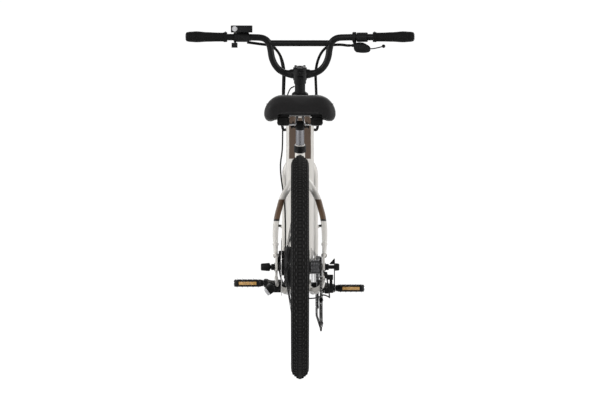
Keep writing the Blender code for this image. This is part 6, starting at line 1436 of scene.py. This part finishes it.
def makePedals():
    length, depth, tall = drive["pedalLength"], drive["pedalDepth"], drive["pedalTall"]
    for side, word in bothSides:
        out = right * side
        tip = crankSpot(side)
        start, middle = tip + out * 0.1165, tip + out * (drive["pedalInner"] + length / 2)
        outline = softBox(length / 2, depth / 2, 0.012, 5)
        body = plate(outline, tall, Matrix.Translation(middle - up * tall / 2), 0.0016, 3)
        tools, studs, lenses = [], [], []
        for way in (-forward, forward):  # two windows, and the reflectors' seats
            tools.append(brick(middle + way * 0.0255, (length - 0.022, 0.023, 0.05), None, 0.0025, 3))
            tools.append(brick(middle + way * (depth / 2), (0.059, 0.006, 0.012), None, 0.0008))
            lenses.append(brick(middle + way * (depth / 2 - 0.0004), (0.056, 0.0034, 0.01), None, 0.0008))
        for level in (-1, 1):  # a shallow pocket above and below, and the studs along the edges
            pocket = middle + up * level * (tall / 2 + 0.001)
            tools.append(brick(pocket, (length - 0.03, 0.011, 0.006), None, 0.001))
            for way in (-1, 1):
                for k in range(drive["studs"]):
                    x = (k / (drive["studs"] - 1) - 0.5) * (length - 0.018)
                    spot = middle + Vector((x, way * (depth / 2 - 0.006), level * (tall / 2 - 0.001)))
                    studs.append(pin(spot, up * level, 0.0, 0.003, 0.0019, 12, 0.0015, 0.0003))
        carve(body, *tools)
        barrels = [pin(start, out, 0.0, 0.012, 0.01, 32, 0.0112, 0.0008),
                   pin(middle, out, -length * 0.45, length * 0.45, 0.01, 32, None, 0.0006)]
        finishPiece([body, *barrels], "pedal_platform_" + word, "cast", word + "_pedal", ["pedal_" + word])
        shaft = rod(start - out * 0.001, middle, 0.0058, 28)
        cap = pin(middle, out, length / 2 - 0.001, length / 2 + 0.0022, 0.0082, 32, 0.0076, 0.0006)
        finishPiece([shaft, cap, *studs], "pedal_studs_" + word, "steel", word + "_pedal")
        finishPiece(lenses, "pedal_reflector_" + word, "amber", word + "_pedal")


def makeCogs():
    stack = [lathe([(0.0155, 0.032), (0.0215, 0.032), (0.0215, 0.064), (0.022, 0.0645), (0.022, 0.0662),
                    (0.021, 0.0668), (0.0155, 0.0668)], 56, rearAxle, right)]
    last = len(drive["cogs"]) - 1  # the smallest cog, which the chain sits on, has its teeth as in the CAD
    for k, teeth in enumerate(drive["cogs"]):
        x = drive["firstCog"] + drive["cogStep"] * k
        low = x - drive["cogThick"] / 2
        phase = gapTurn("freewheel", rearAxle, teeth, x - 0.0012) if k == last else 0.0
        cog = plate(toothed(teeth, phase), drive["cogThick"], sideFrame(rearAxle + right * low), 0.0003, 1)
        if teeth > 19:
            reach = pitchRadius(teeth) - 0.012
            spots = [rearAxle + wheelSpot(math.tau * (m + 0.5 * (k % 2)) / 8, reach,
                                          low - 0.002) for m in range(8)]
            carve(cog, together(*[pin(spot, right, 0.0, 0.008, 0.003, 16) for spot in spots]))
        stack.append(carve(cog, pin(rearAxle, right, 0.02, 0.08, 0.019, 40)))
    finishPiece(stack, "cog_stack", "cog", "freewheel_cogs", ["freewheel"], 30.0)


def makePulleyBolts():
    bolts = []
    for y, z in ((-0.553, 0.247), (-0.577848, 0.175177)):  # outside the cage
        at = Vector((0.0712, y, z))
        head = pin(at, right, 0.0, 0.0022, 0.0042, 24, 0.0038, 0.0005)
        bolts.append(carve(head, pin(at, right, 0.0012, 0.003, 0.0018, 6)))
    finishPiece(bolts, "pulley_bolt_heads", "steel", "chain_cage")


kickstand = {"hinge": (-0.088, -0.3535, 0.006), "tilt": 20.6, "footTurn": -35.0}


def makeKickstand():
    tilt = math.radians(kickstand["tilt"])
    axis = Vector((math.cos(tilt), 0.0, -math.sin(tilt)))
    pivot = bracket + Vector(kickstand["hinge"])
    route = onSide(1, pivot - axis * 0.0065, ((0.0, 0.0, 0.0), (-0.001, -0.04, 0.001),
                                              (-0.001, -0.126, 0.001), (0.0005, -0.224, -0.0025),
                                              (0.001, -0.26, -0.006)))
    thick = easedValues((0.0056, 0.007, 0.0075, 0.0075, 0.0075), 5)
    parts = [pin(pivot, axis, -0.013, 0.0, 0.011, 40, None, 0.001),
             tube(eased(route, 5), thick, thick, 24, right),
             hexNut(pivot, axis, -0.016, -0.012, 0.0062, 0.0005)]
    finishPiece(parts, "kickstand_rod", "black", "kickstand", ["kickstand_leg"])
    end, way = route[-1], (route[-1] - route[-2]).normalized()
    side = Matrix.Rotation(math.radians(kickstand["footTurn"]), 3, "Y") @ right
    side = (side - way * side.dot(way)).normalized()
    turn = Matrix((side, way, side.cross(way))).transposed()
    foot = brick(end + way * 0.008 + side * 0.002, (0.026, 0.046, 0.024), turn, 0.005, 4)
    finishPiece(foot, "kickstand_foot", "rubber", "kickstand")
    # a pale brick standing out of the rubber foot's side: a painted highlight where light falls on the foot
    tip = brick(end + way * 0.01 - side * 0.01, (0.01, 0.045, 0.0225), turn, 0.004, 4)
    finishPiece(tip, "kickstand_foot_highlight", "pale", "kickstand")


makeCranks()
makeChainring()
makePedals()
makeCogs()
makePulleyBolts()
makeKickstand()
print("drive made")

# The CAD pieces that stay as they are take their finish here

for node, look in (("chain", "chain"), ("motor_controller", "cast")):
    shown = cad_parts[node]
    shown.data.materials.clear()
    shown.data.materials.append(looks[look])

# The end, with the count of pieces

print("pieces:", len(pieceNames))
